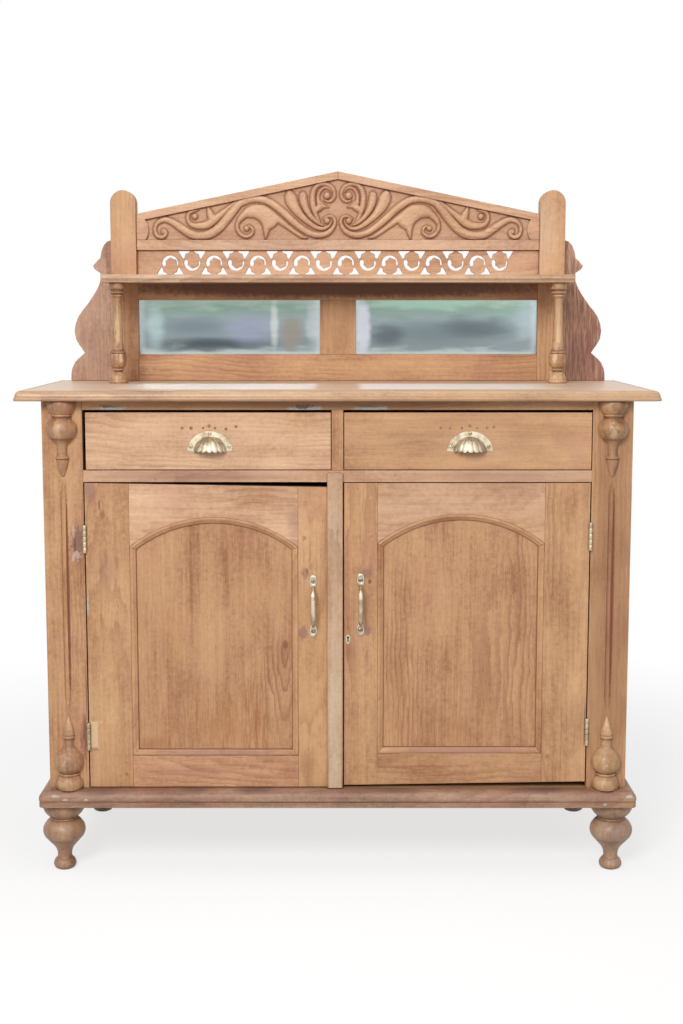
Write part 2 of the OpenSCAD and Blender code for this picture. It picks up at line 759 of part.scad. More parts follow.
// UPSTAND
// The pockets that the mirrors and the board behind them lie in
module mirror_pockets() {
    pair()
        board([muntin_w / 2 - mirror_lap, face_y + mirror_frame_t - mirror_t, glass_z - mirror_lap],
            [gallery_half + mirror_lap, shelf_back_y, glass_top_z + mirror_lap]);
}

module mirror_rails() {
    color("burlywood")
        difference() {
            for (z = [[top_z, glass_z], [glass_top_z, shelf_z]])
                board([-gallery_half, face_y, z[0]],
                    [gallery_half, face_y + mirror_frame_t, z[1]]);
            mirror_pockets();
        }
}

module mirror_uprights() {
    color("burlywood")
        difference() {
            union() {
                pair()
                    board([gallery_half, face_y, top_z],
                        [half_w, face_y + mirror_frame_t, shelf_z]);
                board([-muntin_w / 2, face_y, glass_z],
                    [muntin_w / 2, face_y + mirror_frame_t, glass_top_z]);
            }
            mirror_pockets();
        }
}

module mirrors() {
    color("lightsteelblue")
        pair()
            board([muntin_w / 2 - mirror_lap, face_y + mirror_frame_t - mirror_t, glass_z - mirror_lap],
                [gallery_half + mirror_lap, face_y + mirror_frame_t, glass_top_z + mirror_lap]);
}

module mirror_backing() {
    y = face_y + mirror_frame_t;
    color("tan")
        board([-gallery_half - backing_lap, y, glass_z - backing_lap],
            [gallery_half + backing_lap, y + backing_t, glass_top_z + backing_lap]);
}

module upper_shelf() {
    front = shelf_back_y - shelf_d;
    nose = shelf_nose[0];
    middle = shelf_z + shelf_t / 2;
    wide = half_w + shelf_over;
    color("burlywood")
        difference() {
            translate([-wide, 0, 0])
                rotate([90, 0, 90])
                    linear_extrude(height = 2 * wide)
                        polygon(concat([[shelf_back_y, shelf_z], [shelf_back_y, gallery_z],
                            [front + nose, gallery_z]],
                            arc_points([front + nose, gallery_z], [front, middle],
                                -shelf_nose[1], 6),
                            arc_points([front, middle], [front + nose, shelf_z],
                                -shelf_nose[1], 6)));
            pair()
                board([half_w, face_y, shelf_z - 1], [wide + 1, shelf_back_y + 1, gallery_z + 1]);
        }
}

module columns() {
    color("sandybrown")
        pair()
            translate([column_x, column_y, top_z])
                turned(COLUMN, shelf_z - top_z, column_r);
}

module posts() {
    color("burlywood")
        pair()
            stood(post_y, post_t) {
                translate([half_w - post_w, gallery_z])
                    square([post_w, post_h - post_w / 2]);
                translate([half_w - post_w / 2, gallery_z + post_h - post_w / 2])
                    circle(d = post_w);
            }
}

// Points on an arc of a circle, between two angles and without its ends
function arc_within(centre, r, from, to, steps) = [for (i = [1:steps - 1])
    let (a = from + (to - from) * i / steps) centre + r * [cos(a), sin(a)]];

// Width of a slot at a place round its leaf, where the leaf's edge has six lobes to the turn
function slot_width(a) = slot_w - slot_taper * cos(a) + leaf_notch * cos(6 * a);

// The round end of a slot, drawn from one of its edges to the other
function slot_end(a, from, to) = let (w = slot_width(a))
    arc_within((slot_r - w / 2) * [cos(a), sin(a)], w / 2, from, to, 7);

// The arched slot over a leaf, round at both ends, drawn round the leaf's middle
function slot_points(spread) = let (low = 90 - spread / 2, high = 90 + spread / 2)
    concat(arc_within([0, 0], slot_r, low, high, 22),
        slot_end(high, high, high + 180),
        [for (i = [1:23])
            let (a = high + (low - high) * i / 24) (slot_r - slot_width(a)) * [cos(a), sin(a)]],
        slot_end(low, low - 180, low));

// The holes round one leaf of the gallery that stands on its stem: the slot over it, and a
// three-cornered hole at each side of the stem
module leaf_holes() {
    translate([0, slot_up])
        polygon(slot_points(slot_spread));
    for (s = [-1, 1])
        polygon([for (p = STEM_HOLE) [s * p[0], p[1]]]);
}

module fret_gallery() {
    color("burlywood")
        stood(crest_y, fret_t)
            difference() {
                translate([-gallery_half, gallery_z])
                    square([2 * gallery_half, fret_h]);
                for (i = [0:fret_count - 1])
                    translate([(i - (fret_count - 1) / 2) * fret_pitch - fret_shift, gallery_z])
                        if (i % 2 == 0)
                            leaf_holes();
                        else
                            translate([0, fret_h])
                                mirror([0, 1])
                                    leaf_holes();
            }
}

// Height of the field's sloping edge over the field's foot, x from the middle
function field_edge(x) = field_mid_h - slope * x;

module crest_board() {
    end = gallery_half;
    color("tan")
        stood(crest_y, crest_t)
            polygon([[-end, crest_z], [end, crest_z], [end, field_z + field_edge(end) + slope_h],
                [0, field_z + field_mid_h + slope_h], [-end, field_z + field_edge(end) + slope_h]]);
}

// One sloping rail with the block at its end, whose face bulges into the field
module slope_rail() {
    end = gallery_half;
    r = (field_end_h * field_end_h / 4 + end_block[1] * end_block[1]) / (2 * end_block[1]);
    stood(crest_y - crest_out, crest_out) {
        polygon([[hair, field_z + field_mid_h], [hair, field_z + field_mid_h + slope_h],
            [end, field_z + field_edge(end) + slope_h], [end, field_z + field_edge(end)]]);
        intersection() {
            translate([field_x - end_block[1] + r, field_z + field_end_h / 2])
                circle(r = r, $fn = 96);
            polygon([[field_x - 2 * end_block[1], field_z + hair], [end, field_z + hair],
                [end, field_z + field_edge(end) + hair],
                [field_x - 2 * end_block[1], field_z + field_edge(field_x - 2 * end_block[1]) + hair]]);
        }
    }
}

module crest_rails() {
    color("burlywood") {
        board([-gallery_half, crest_y - crest_out, crest_z], [gallery_half, crest_y, field_z]);
        pair()
            slope_rail();
    }
}

// A smooth curve through the points k, n steps between neighbours
function curve_at(a, b, c, d, t) = 0.5 * (2 * b + (c - a) * t
    + (2 * a - 5 * b + 4 * c - d) * t * t + (3 * b - a - 3 * c + d) * t * t * t);
function smooth(k, n) = [for (i = [0:len(k) - 2], j = [0:n - 1])
    curve_at(k[max(i - 1, 0)], k[i], k[i + 1], k[min(i + 2, len(k) - 1)], j / n), k[len(k) - 1]];

// One edge of a stroke along the points s, at half its width
function stroke_edge(s, side) = [for (i = [0:len(s) - 1])
    let (a = s[max(i - 1, 0)], b = s[min(i + 1, len(s) - 1)], d = [b[0] - a[0], b[1] - a[1]])
    [s[i][0], s[i][1]] + side * [-d[1], d[0]] / norm(d) * s[i][2] / 2];
function backwards(s) = [for (i = [len(s) - 1:-1:0]) s[i]];

module carved_half() {
    kx = field_x / FIELD_SIZE[0];
    kz = field_mid_h / FIELD_SIZE[1];
    for (k = STROKES) {
        s = smooth([for (p = k) [p[0] * kx, p[1] * kz, p[2] * min(kx, kz)]], 2);
        polygon(concat(stroke_edge(s, 1), backwards(stroke_edge(s, -1))));
    }
    for (e = EYES)
        translate([e[0] * kx, e[1] * kz])
            circle(r = EYE_R * min(kx, kz), $fn = 24);
}

module crest_carving() {
    color("sandybrown")
        stood(crest_y - carve_h, carve_h)
            translate([0, field_z]) {
                carved_half();
                mirror([1, 0])
                    carved_half();
            }
}

module wings() {
    nominal = [WING[0][0], WING[len(WING) - 1][1]];
    color("sienna")
        pair()
            stood(face_y, wing_t)
                translate([half_w, top_z])
                    polygon(concat([[0, 0]],
                        [for (p = WING) [p[0] * wing_w / nominal[0], p[1] * wing_h / nominal[1]]]));
}

// HINGES
// Every knuckle takes a fifth of the hinge's height, less a hair's gap
knuckle_h = hinge_h / 5;

// One hinge leaf on the right side of the cabinet: side is 1 for the fixed leaf, -1 for the
// moving one, which carries the second and the fourth knuckle
module hinge_leaf(z, side) {
    x = side * hair;
    face = front_y - hinge_y;
    moving = side < 0;
    translate([hinge_x, hinge_y, z - hinge_h / 2])
        difference() {
            union() {
                board([min(x, x + side * leaf_t), face + (moving ? knuckle_gap : 0), 0],
                    [max(x, x + side * leaf_t), face + leaf_w, hinge_h]);
                for (i = moving ? [1, 3] : [0, 2, 4])
                    translate([0, 0, i * knuckle_h + hair]) {
                        cylinder(h = knuckle_h - 2 * hair, r = knuckle_r);
                        board([min(x, x + side * leaf_t), 0, 0],
                            [max(x, x + side * leaf_t), face + 1, knuckle_h - 2 * hair]);
                    }
            }
            translate([0, 0, -1])
                cylinder(h = hinge_h + 2, r = pin_r + (moving ? pin_play : 0));
        }
}

module hinge_fixed_leaves() {
    color("darkkhaki") {
        for (h = right_hinges)
            hinge_leaf(plinth_z + h, 1);
        mirror([1, 0, 0])
            for (h = left_hinges)
                hinge_leaf(plinth_z + h, 1);
    }
}

module hinge_pin(z) {
    translate([hinge_x, hinge_y, z - hinge_h / 2])
        cylinder(h = hinge_h, r = pin_r);
}

module hinge_pins() {
    color("gold") {
        for (h = right_hinges)
            hinge_pin(plinth_z + h);
        mirror([1, 0, 0])
            for (h = left_hinges)
                hinge_pin(plinth_z + h);
    }
}

module left_hinge_leaves() {
    color("darkkhaki")
        mirror([1, 0, 0])
            for (h = left_hinges)
                hinge_leaf(plinth_z + h, -1);
}

module right_hinge_leaves() {
    color("darkkhaki")
        for (h = right_hinges)
            hinge_leaf(plinth_z + h, -1);
}

// DOORS
function hinged_line(d) = d[1] - d[0] * d[5];
function free_line(d) = d[2] + d[0] * d[6];
function panel_mid(d) = (hinged_line(d) + free_line(d)) / 2;
function panel_half(d) = abs(hinged_line(d) - free_line(d)) / 2;
function panel_low(d) = plinth_z + left_under[0] + d[7];
function panel_crown(d) = mid_z - d[8];

// The door's outline, with the gaps that its old frame has settled to
module door_outline(d) {
    polygon([[d[1], plinth_z + d[3][0]], [d[2], plinth_z + d[3][1]], [d[2], mid_z - d[4][1]],
        [d[1], mid_z - d[4][0]]]);
}

// The arched opening of a door's frame, grown all round by g
module arched(d, g) {
    r = arch_r + g;
    w = panel_half(d) + g;
    low = panel_low(d) - g;
    mid = panel_crown(d) - arch_r;
    translate([panel_mid(d), 0])
        intersection() {
            translate([-w, low])
                square([2 * w, mid + r - low]);
            union() {
                translate([0, mid])
                    circle(r = r, $fn = 180);
                translate([-w, low])
                    square([2 * w, mid - low]);
            }
        }
}

// The slope from the frame's face down to the panel, as what is cut away along the right-hand
// side, the left-hand side and the foot of the opening, and round its arch
module bevel_section() {
    foot = bevel_d - bevel_lip;
    polygon([[1, -1], [1, 0], [0, 0], [-1, 1], [-bevel_w, foot], [-bevel_w - 1, foot],
        [-bevel_w - 1, -1]]);
}

module bevel_cut(d) {
    mid = panel_crown(d) - arch_r;
    w = panel_half(d);
    low = panel_low(d);
    translate([panel_mid(d), front_y, 0]) {
        intersection() {
            union() {
                for (m = [0, 1])
                    mirror([m, 0, 0])
                        translate([w, 0, low])
                            linear_extrude(height = panel_crown(d) - low)
                                bevel_section();
                translate([-w, 0, low])
                    rotate([0, 90, 0])
                        linear_extrude(height = 2 * w)
                            bevel_section();
                translate([0, 0, mid])
                    rotate([-90, 0, 0])
                        rotate_extrude($fn = 180)
                            translate([arch_r, 0])
                                bevel_section();
            }
            translate([-panel_mid(d), 0, 0])
                stood(-2, front_t)
                    arched(d, 0);
        }
    }
}

// The door's whole frame, cut round its panel, before it is parted into stiles and rails
module door_frame(d) {
    difference() {
        stood(front_y, front_t)
            difference() {
                door_outline(d);
                arched(d, -bevel_w);
            }
        bevel_cut(d);
        stood(front_y + bevel_d, panel_t)
            arched(d, tongue);
        if (d[0] > 0)
            for (h = right_hinges)
                door_leaf_seat(plinth_z + h);
        else
            mirror([1, 0, 0])
                for (h = left_hinges)
                    door_leaf_seat(plinth_z + h);
    }
}

// Room let into a door's edge for its moving hinge leaf
module door_leaf_seat(z) {
    board([hinge_x - hair - leaf_t, front_y, z - hinge_h / 2],
        [hinge_x + 1, front_y + leaf_w, z + hinge_h / 2]);
}

// Height at which the moulded edge passes from the stiles to the arched top rail
function shoulder(d) = panel_crown(d) - arch_r
    + sqrt(pow(arch_r - bevel_w, 2) - pow(panel_half(d) - bevel_w, 2)) - 2;

// A stile from its outer edge to its inner line, with the moulded edge that it carries, which
// is mitred at its foot
module stile(d, outer, inner) {
    reach = (inner > outer ? 1 : -1) * (bevel_w + 1);
    intersection() {
        door_frame(d);
        stood(front_y - 1, front_t + 2)
            polygon([[outer, 0], [inner, 0], [inner, panel_low(d)],
                [inner + reach, panel_low(d) + abs(reach)], [inner + reach, shoulder(d)],
                [inner, shoulder(d)], [inner, mid_z + 1], [outer, mid_z + 1]]);
    }
}

module top_door_rail(d) {
    intersection() {
        door_frame(d);
        stood(front_y - 1, front_t + 2)
            translate([panel_mid(d) - panel_half(d), shoulder(d)])
                square([2 * panel_half(d), mid_z + 1 - shoulder(d)]);
    }
}

module bottom_door_rail(d) {
    half = panel_half(d);
    reach = bevel_w + 1;
    intersection() {
        door_frame(d);
        stood(front_y - 1, front_t + 2)
            translate([panel_mid(d), 0])
                polygon([[-half, 0], [half, 0], [half, panel_low(d)],
                    [half - reach, panel_low(d) + reach], [reach - half, panel_low(d) + reach],
                    [-half, panel_low(d)]]);
    }
}

module door_panel(d) {
    stood(front_y + bevel_d, panel_t)
        arched(d, tongue);
}

module left_hinge_stile() {
    color("peru")
        stile(left_door, left_door[1], hinged_line(left_door));
}

// The hole in the left door's edge that the lock's bolt shoots into
module lock_mortise() {
    z = plinth_z + lock_height;
    y = lock_y - lock_bolt_size[1] / 2;
    board([left_door[2] - lock_throw - 2, y - 1, z - lock_bolt_size[0] / 2 - 1],
        [left_door[2] + 1, y + lock_bolt_size[1] + 1, z + lock_bolt_size[0] / 2 + 1]);
}

module left_lock_stile() {
    color("peru")
        difference() {
            stile(left_door, left_door[2], free_line(left_door));
            lock_mortise();
        }
}

module left_top_rail() {
    color("burlywood")
        top_door_rail(left_door);
}

module left_bottom_rail() {
    color("burlywood")
        bottom_door_rail(left_door);
}

module left_panel() {
    color("tan")
        door_panel(left_door);
}

module meeting_strip() {
    right = left_door[2];
    r = strip_out * 0.4;
    color("wheat")
        difference() {
            translate([0, 0, plinth_z + left_under[1]])
                linear_extrude(height = mid_z + strip_over - plinth_z - left_under[1]) {
                    translate([right - strip_w, front_y - strip_out + r])
                        square([strip_w, strip_out - r]);
                    translate([right - strip_w + r, front_y - strip_out])
                        square([strip_w - 2 * r, strip_out]);
                    for (x = [right - strip_w + r, right - r])
                        translate([x, front_y - strip_out + r])
                            circle(r = r, $fn = 32);
                }
            board([right - strip_w - 1, front_y - strip_play, mid_z - left_over[1]],
                [right + 1, front_y + 1, mid_z + strip_over + 1]);
        }
}

module right_hinge_stile() {
    color("peru")
        stile(right_door, right_door[1], hinged_line(right_door));
}

// The lock's middle depth, its keyhole, and the pocket that its case fills, which is cut from
// the stile a little past its edge and its back
lock_y = door_back_y - lock_case_size[2] / 2;
keyhole_x = right_door[2] + keyhole_in;

module keyhole(y, t) {
    stood(y, t)
        translate([keyhole_x, plinth_z + lock_height]) {
            translate([0, keyhole_size[2]])
                circle(r = keyhole_size[0]);
            translate([-keyhole_size[1], -keyhole_size[3]])
                square([2 * keyhole_size[1], keyhole_size[2] + keyhole_size[3]]);
        }
}

module lock_pocket(past) {
    z = plinth_z + lock_height;
    board([right_door[2] - past, door_back_y - lock_case_size[2], z - lock_case_size[0] / 2],
        [right_door[2] + lock_case_size[1], door_back_y + past, z + lock_case_size[0] / 2]);
}

module right_lock_stile() {
    color("peru")
        difference() {
            stile(right_door, right_door[2], free_line(right_door));
            lock_pocket(1);
            keyhole(front_y - 1, front_t);
        }
}

module right_top_rail() {
    color("burlywood")
        top_door_rail(right_door);
}

module right_bottom_rail() {
    color("burlywood")
        bottom_door_rail(right_door);
}

module right_panel() {
    color("tan")
        door_panel(right_door);
}

// LOCK AND BOLTS
module lock_case() {
    z = plinth_z + lock_height;
    y = lock_y - lock_bolt_size[1] / 2;
    color("darkgoldenrod")
        difference() {
            lock_pocket(0);
            board([right_door[2] - 1, y - bolt_play, z - lock_bolt_size[0] / 2 - bolt_play],
                [right_door[2] + lock_case_size[1] - lock_wall, y + lock_bolt_size[1] + bolt_play,
                z + lock_bolt_size[0] / 2 + bolt_play]);
            keyhole(front_y, y - front_y);
        }
}

// The lock's bolt: it lies back in its case at rest and shoots to the left
module lock_bolt() {
    z = plinth_z + lock_height;
    y = lock_y - lock_bolt_size[1] / 2;
    color("gold")
        difference() {
            board([right_door[2] + hair, y, z - lock_bolt_size[0] / 2],
                [right_door[2] + lock_case_size[1] - lock_wall - 1, y + lock_bolt_size[1],
                z + lock_bolt_size[0] / 2]);
            translate([0, 0, -2])
                keyhole(y - 1, lock_bolt_size[1] + 2);
        }
}

module escutcheon() {
    z = plinth_z + lock_height;
    color("gold")
        difference() {
            stood(front_y - 1, 1)
                translate([keyhole_x, z]) {
                    translate([0, keyhole_plate[2]])
                        circle(r = keyhole_plate[0]);
                    translate([0, -keyhole_plate[3]])
                        circle(r = keyhole_plate[1]);
                    polygon([[-keyhole_plate[0], keyhole_plate[2]], [-keyhole_plate[1], -keyhole_plate[3]],
                        [keyhole_plate[1], -keyhole_plate[3]], [keyhole_plate[0], keyhole_plate[2]]]);
                }
            keyhole(front_y - 2, 3);
        }
}

// The slide bolt's upper end at rest lies under the door's upper edge
slide_top = mid_z - left_over[1];
slide_low = slide_top - slide_bolt_l;

module slide_bolt_case() {
    plate_top = slide_top - staple_top;
    color("darkkhaki")
        difference() {
            union() {
                board([slide_x - staple_h, door_back_y, slide_low],
                    [slide_x + staple_h, door_back_y + leaf_t, plate_top]);
                for (z = [slide_low + staple_h / 2, plate_top - staple_h])
                    board([slide_x - staple_h / 2, door_back_y, z],
                        [slide_x + staple_h / 2, slide_y + 2 * slide_bolt_r - bolt_play, z + staple_h]);
            }
            translate([slide_x, slide_y, slide_low - 1])
                cylinder(h = slide_bolt_l + 2, r = slide_bolt_r + bolt_play);
        }
}

module slide_bolt() {
    point = slide_bolt_r;
    color("gold")
        translate([slide_x, slide_y, slide_low]) {
            cylinder(h = slide_bolt_l - point, r = slide_bolt_r);
            translate([0, 0, slide_bolt_l - point])
                cylinder(h = point, r1 = slide_bolt_r, r2 = slide_bolt_r / 2);
            translate([0, 0, slide_bolt_l / 3])
                rotate([-90, 0, 0]) {
                    cylinder(h = slide_knob[1], r = slide_knob[0] / 2);
                    translate([0, 0, slide_knob[1]])
                        sphere(r = slide_knob[0]);
                }
        }
}

// PULLS
module door_pull(x, z) {
    half = pull_l / 2 - pull_plate[1];
    grip_half = half - grip_short;
    translate([x, front_y, z]) {
        for (m = [0, 1])
            mirror([0, 0, m]) {
                stood(-pull_plate_t, pull_plate_t) {
                    translate([-pull_plate[0] / 2, half])
                        square([pull_plate[0], pull_plate[1] - pull_plate[0] / 2]);
                    translate([0, pull_l / 2 - pull_plate[0] / 2])
                        circle(d = pull_plate[0]);
                }
                translate([0, -pull_plate_t, half + neck[1]])
                    pull_neck(grip_out - pull_plate_t, half + neck[1] - grip_half);
            }
        translate([0, -grip_out, -grip_half])
            cylinder(h = 2 * grip_half, r = grip_r);
    }
}

// The neck of a door pull, from its plate out and in along the pull to the grip
module pull_neck(out, along) {
    rotate([90 + atan(along / out), 0, 0])
        cylinder(h = norm([out, along]), r = neck[0]);
    translate([0, -out, -along])
        sphere(r = grip_r);
}

module left_door_pull() {
    color("gold")
        door_pull(left_door[2] - pull_in[0], plinth_z + pull_height[0]);
}

module right_door_pull() {
    color("gold")
        door_pull(right_door[2] + pull_in[1], plinth_z + pull_height[1]);
}

// A cup pull: a half-round plate with a quarter of a hollow ball in front of it
module cup_pull(d) {
    x = (d[1] + d[2]) / 2 + cup_shift;
    z = runner_z + drawer_gap_under + cup_up;
    translate([x, front_y + drawer_back, z]) {
        difference() {
            union() {
                stood(-cup_plate_t, cup_plate_t)
                    intersection() {
                        circle(r = cup_plate_r);
                        translate([-cup_plate_r, 0])
                            square([2 * cup_plate_r, cup_plate_r]);
                    }
                intersection() {
                    translate([0, cup_sink, 0])
                        sphere(r = cup_r);
                    board([-cup_r, -cup_r, 0], [cup_r, 0, cup_r]);
                }
            }
            intersection() {
                translate([0, cup_sink, 0])
                    sphere(r = cup_r - cup_wall);
                board([-cup_r, -cup_r, -1], [cup_r, -cup_plate_t, cup_r]);
            }
        }
    }
}

module left_cup_pull() {
    color("gold")
        cup_pull(left_drawer);
}

module right_cup_pull() {
    color("gold")
        cup_pull(right_drawer);
}

// DRAWERS
drawer_low_z = runner_z + drawer_gap_under;
drawer_high_z = drawer_top_z - drawer_gap_top;
box_low_z = runner_z + slide_play;
box_high_z = drawer_high_z - drawer_side_low;
drawer_face_y = front_y + drawer_back;
drawer_end_y = boards_y - drawer_behind;
groove = drawer_side_t / 2;

// The bottom board of a drawer: it lies in grooves in the front, the sides and the back
module drawer_bottom(d) {
    z = box_low_z + drawer_bottom_up;
    board([d[1] + drawer_side_t - groove, drawer_face_y + drawer_front_t - groove, z],
        [d[2] - drawer_side_t + groove, drawer_end_y, z + drawer_bottom_t]);
}

module drawer_front(d) {
    difference() {
        board([d[1], drawer_face_y, drawer_low_z],
            [d[2], drawer_face_y + drawer_front_t, drawer_high_z]);
        drawer_bottom(d);
    }
}

module drawer_sides(d) {
    difference() {
        for (x = [d[1], d[2] - drawer_side_t])
            board([x, drawer_face_y + drawer_front_t, box_low_z],
                [x + drawer_side_t, drawer_end_y, box_high_z]);
        drawer_bottom(d);
    }
}

// The back of a drawer stands on its bottom board
module drawer_back_board(d) {
    board([d[1] + drawer_side_t, drawer_end_y - drawer_side_t,
        box_low_z + drawer_bottom_up + drawer_bottom_t],
        [d[2] - drawer_side_t, drawer_end_y, box_high_z]);
}

module left_drawer_front() {
    color("burlywood")
        drawer_front(left_drawer);
}

module left_drawer_sides() {
    color("tan")
        drawer_sides(left_drawer);
}

module left_drawer_back() {
    color("tan")
        drawer_back_board(left_drawer);
}

module left_drawer_bottom() {
    color("wheat")
        drawer_bottom(left_drawer);
}

module right_drawer_front() {
    color("burlywood")
        drawer_front(right_drawer);
}

module right_drawer_sides() {
    color("tan")
        drawer_sides(right_drawer);
}

module right_drawer_back() {
    color("tan")
        drawer_back_board(right_drawer);
}

module right_drawer_bottom() {
    color("wheat")
        drawer_bottom(right_drawer);
}

worktop();
side_panels();
front_uprights();
top_rail();
drawer_divider();
mid_rail();
cupboard_floor();
plinth_moulding();
base_rails();
feet();
upper_half_balusters();
lower_half_balusters();
drawer_runners();
back_boards();
inner_shelf();
shelf_battens();
mirror_rails();
mirror_uprights();
mirrors();
mirror_backing();
upper_shelf();
columns();
posts();
fret_gallery();
crest_board();
crest_rails();
crest_carving();
wings();
hinge_fixed_leaves();
hinge_pins();
left_hinge_stile();
left_lock_stile();
left_top_rail();
left_bottom_rail();
left_panel();
meeting_strip();
left_door_pull();
left_hinge_leaves();
slide_bolt_case();
slide_bolt();
right_hinge_stile();
right_lock_stile();
right_top_rail();
right_bottom_rail();
right_panel();
right_door_pull();
right_hinge_leaves();
escutcheon();
lock_case();
lock_bolt();
left_drawer_front();
left_drawer_sides();
left_drawer_back();
left_drawer_bottom();
left_cup_pull();
right_drawer_front();
right_drawer_sides();
right_drawer_back();
right_drawer_bottom();
right_cup_pull();
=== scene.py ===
"""Looks of an old buffet cabinet in stripped and waxed wood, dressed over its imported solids.

Lengths are metres in the frame of the solids: X runs to the right, Y to the back and Z up from
the floor, and the doors face -Y. Boards keep their solid and get softened edges and a finish of
their own. Turned, moulded, carved and cast pieces are surfaces worked out with numpy.
"""
from __future__ import annotations

import logging
import math
from dataclasses import dataclass, field
from enum import Enum
from typing import Any, Sequence, Union

import bmesh
import bpy
import numpy as np
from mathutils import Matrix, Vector


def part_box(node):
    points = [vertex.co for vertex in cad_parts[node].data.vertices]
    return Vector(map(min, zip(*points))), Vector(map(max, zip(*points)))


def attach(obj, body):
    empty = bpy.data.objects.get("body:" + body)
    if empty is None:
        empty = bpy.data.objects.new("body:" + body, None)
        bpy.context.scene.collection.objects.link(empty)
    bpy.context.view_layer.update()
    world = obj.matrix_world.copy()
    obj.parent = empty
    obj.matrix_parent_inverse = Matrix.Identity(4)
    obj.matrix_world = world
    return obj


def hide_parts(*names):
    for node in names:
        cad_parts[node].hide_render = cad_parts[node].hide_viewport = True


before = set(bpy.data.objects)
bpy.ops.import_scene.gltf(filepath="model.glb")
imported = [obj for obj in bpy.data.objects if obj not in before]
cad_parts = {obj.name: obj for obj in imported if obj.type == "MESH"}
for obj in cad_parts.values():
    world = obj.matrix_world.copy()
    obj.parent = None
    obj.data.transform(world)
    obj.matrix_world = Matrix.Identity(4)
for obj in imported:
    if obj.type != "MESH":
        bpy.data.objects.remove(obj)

log = logging.getLogger("buffet")
MM = 0.001
GRAIN_MAP = "grain"
HOLLOW = "hollow"
Points = np.ndarray
Colour = tuple[float, float, float, float]


def paint(red: float, green: float, blue: float) -> Colour:
    """Turn a colour as a screen shows it, 0 to 255, into the linear light that shaders take."""
    shown = np.array([red, green, blue]) / 255
    linear = np.where(shown <= 0.04045, shown / 12.92, ((shown + 0.055) / 1.055) ** 2.4)
    return (*linear.tolist(), 1.0)


def span(node: str) -> tuple[tuple[float, ...], tuple[float, ...]]:
    """Give the low and the high corner of a node's box, to a thousandth of a millimetre."""
    low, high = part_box(node)
    return tuple(round(v, 6) for v in low), tuple(round(v, 6) for v in high)


def middle_of(node: str) -> tuple[float, float]:
    """Give the middle of a node's box, across and up."""
    low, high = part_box(node)
    return round((low[0] + high[0]) / 2, 6), round((low[2] + high[2]) / 2, 6)


FRONT = span("front_uprights")[0][1]
DRAWER_FRONT = span("left_drawer_front")[0][1]


class Grain(Enum):
    """The way that a board's fibres run."""

    ACROSS = 0
    DEEP = 1
    UPRIGHT = 2
    ALONG_MAP = 3


class Value:
    """A number or colour that a shader works out, with Python's operators for its maths.

    Every operator adds the Math node of its name, so ``1 - mask * 0.5`` adds two nodes.
    """

    def __init__(self, graph: "Graph", socket: bpy.types.NodeSocket) -> None:
        """Keep the socket and the graph that it belongs to."""
        self.graph = graph
        self.socket = socket

    def math(self, operation: str, *parts: "Part") -> "Value":
        """Add one Math node that works on the given parts in order."""
        return self.graph.node("ShaderNodeMath", {"operation": operation}, dict(enumerate(parts)))

    def __add__(self, other: "Part") -> "Value":
        """Sum."""
        return self.math("ADD", self, other)

    __radd__ = __add__

    def __sub__(self, other: "Part") -> "Value":
        """Difference."""
        return self.math("SUBTRACT", self, other)

    def __rsub__(self, other: "Part") -> "Value":
        """Difference, from a plain number."""
        return self.math("SUBTRACT", other, self)

    def __mul__(self, other: "Part") -> "Value":
        """Product."""
        return self.math("MULTIPLY", self, other)

    __rmul__ = __mul__

    def __truediv__(self, other: "Part") -> "Value":
        """Quotient."""
        return self.math("DIVIDE", self, other)

    def __abs__(self) -> "Value":
        """Size without its sign."""
        return self.math("ABSOLUTE", self)


Part = Union[Value, float]


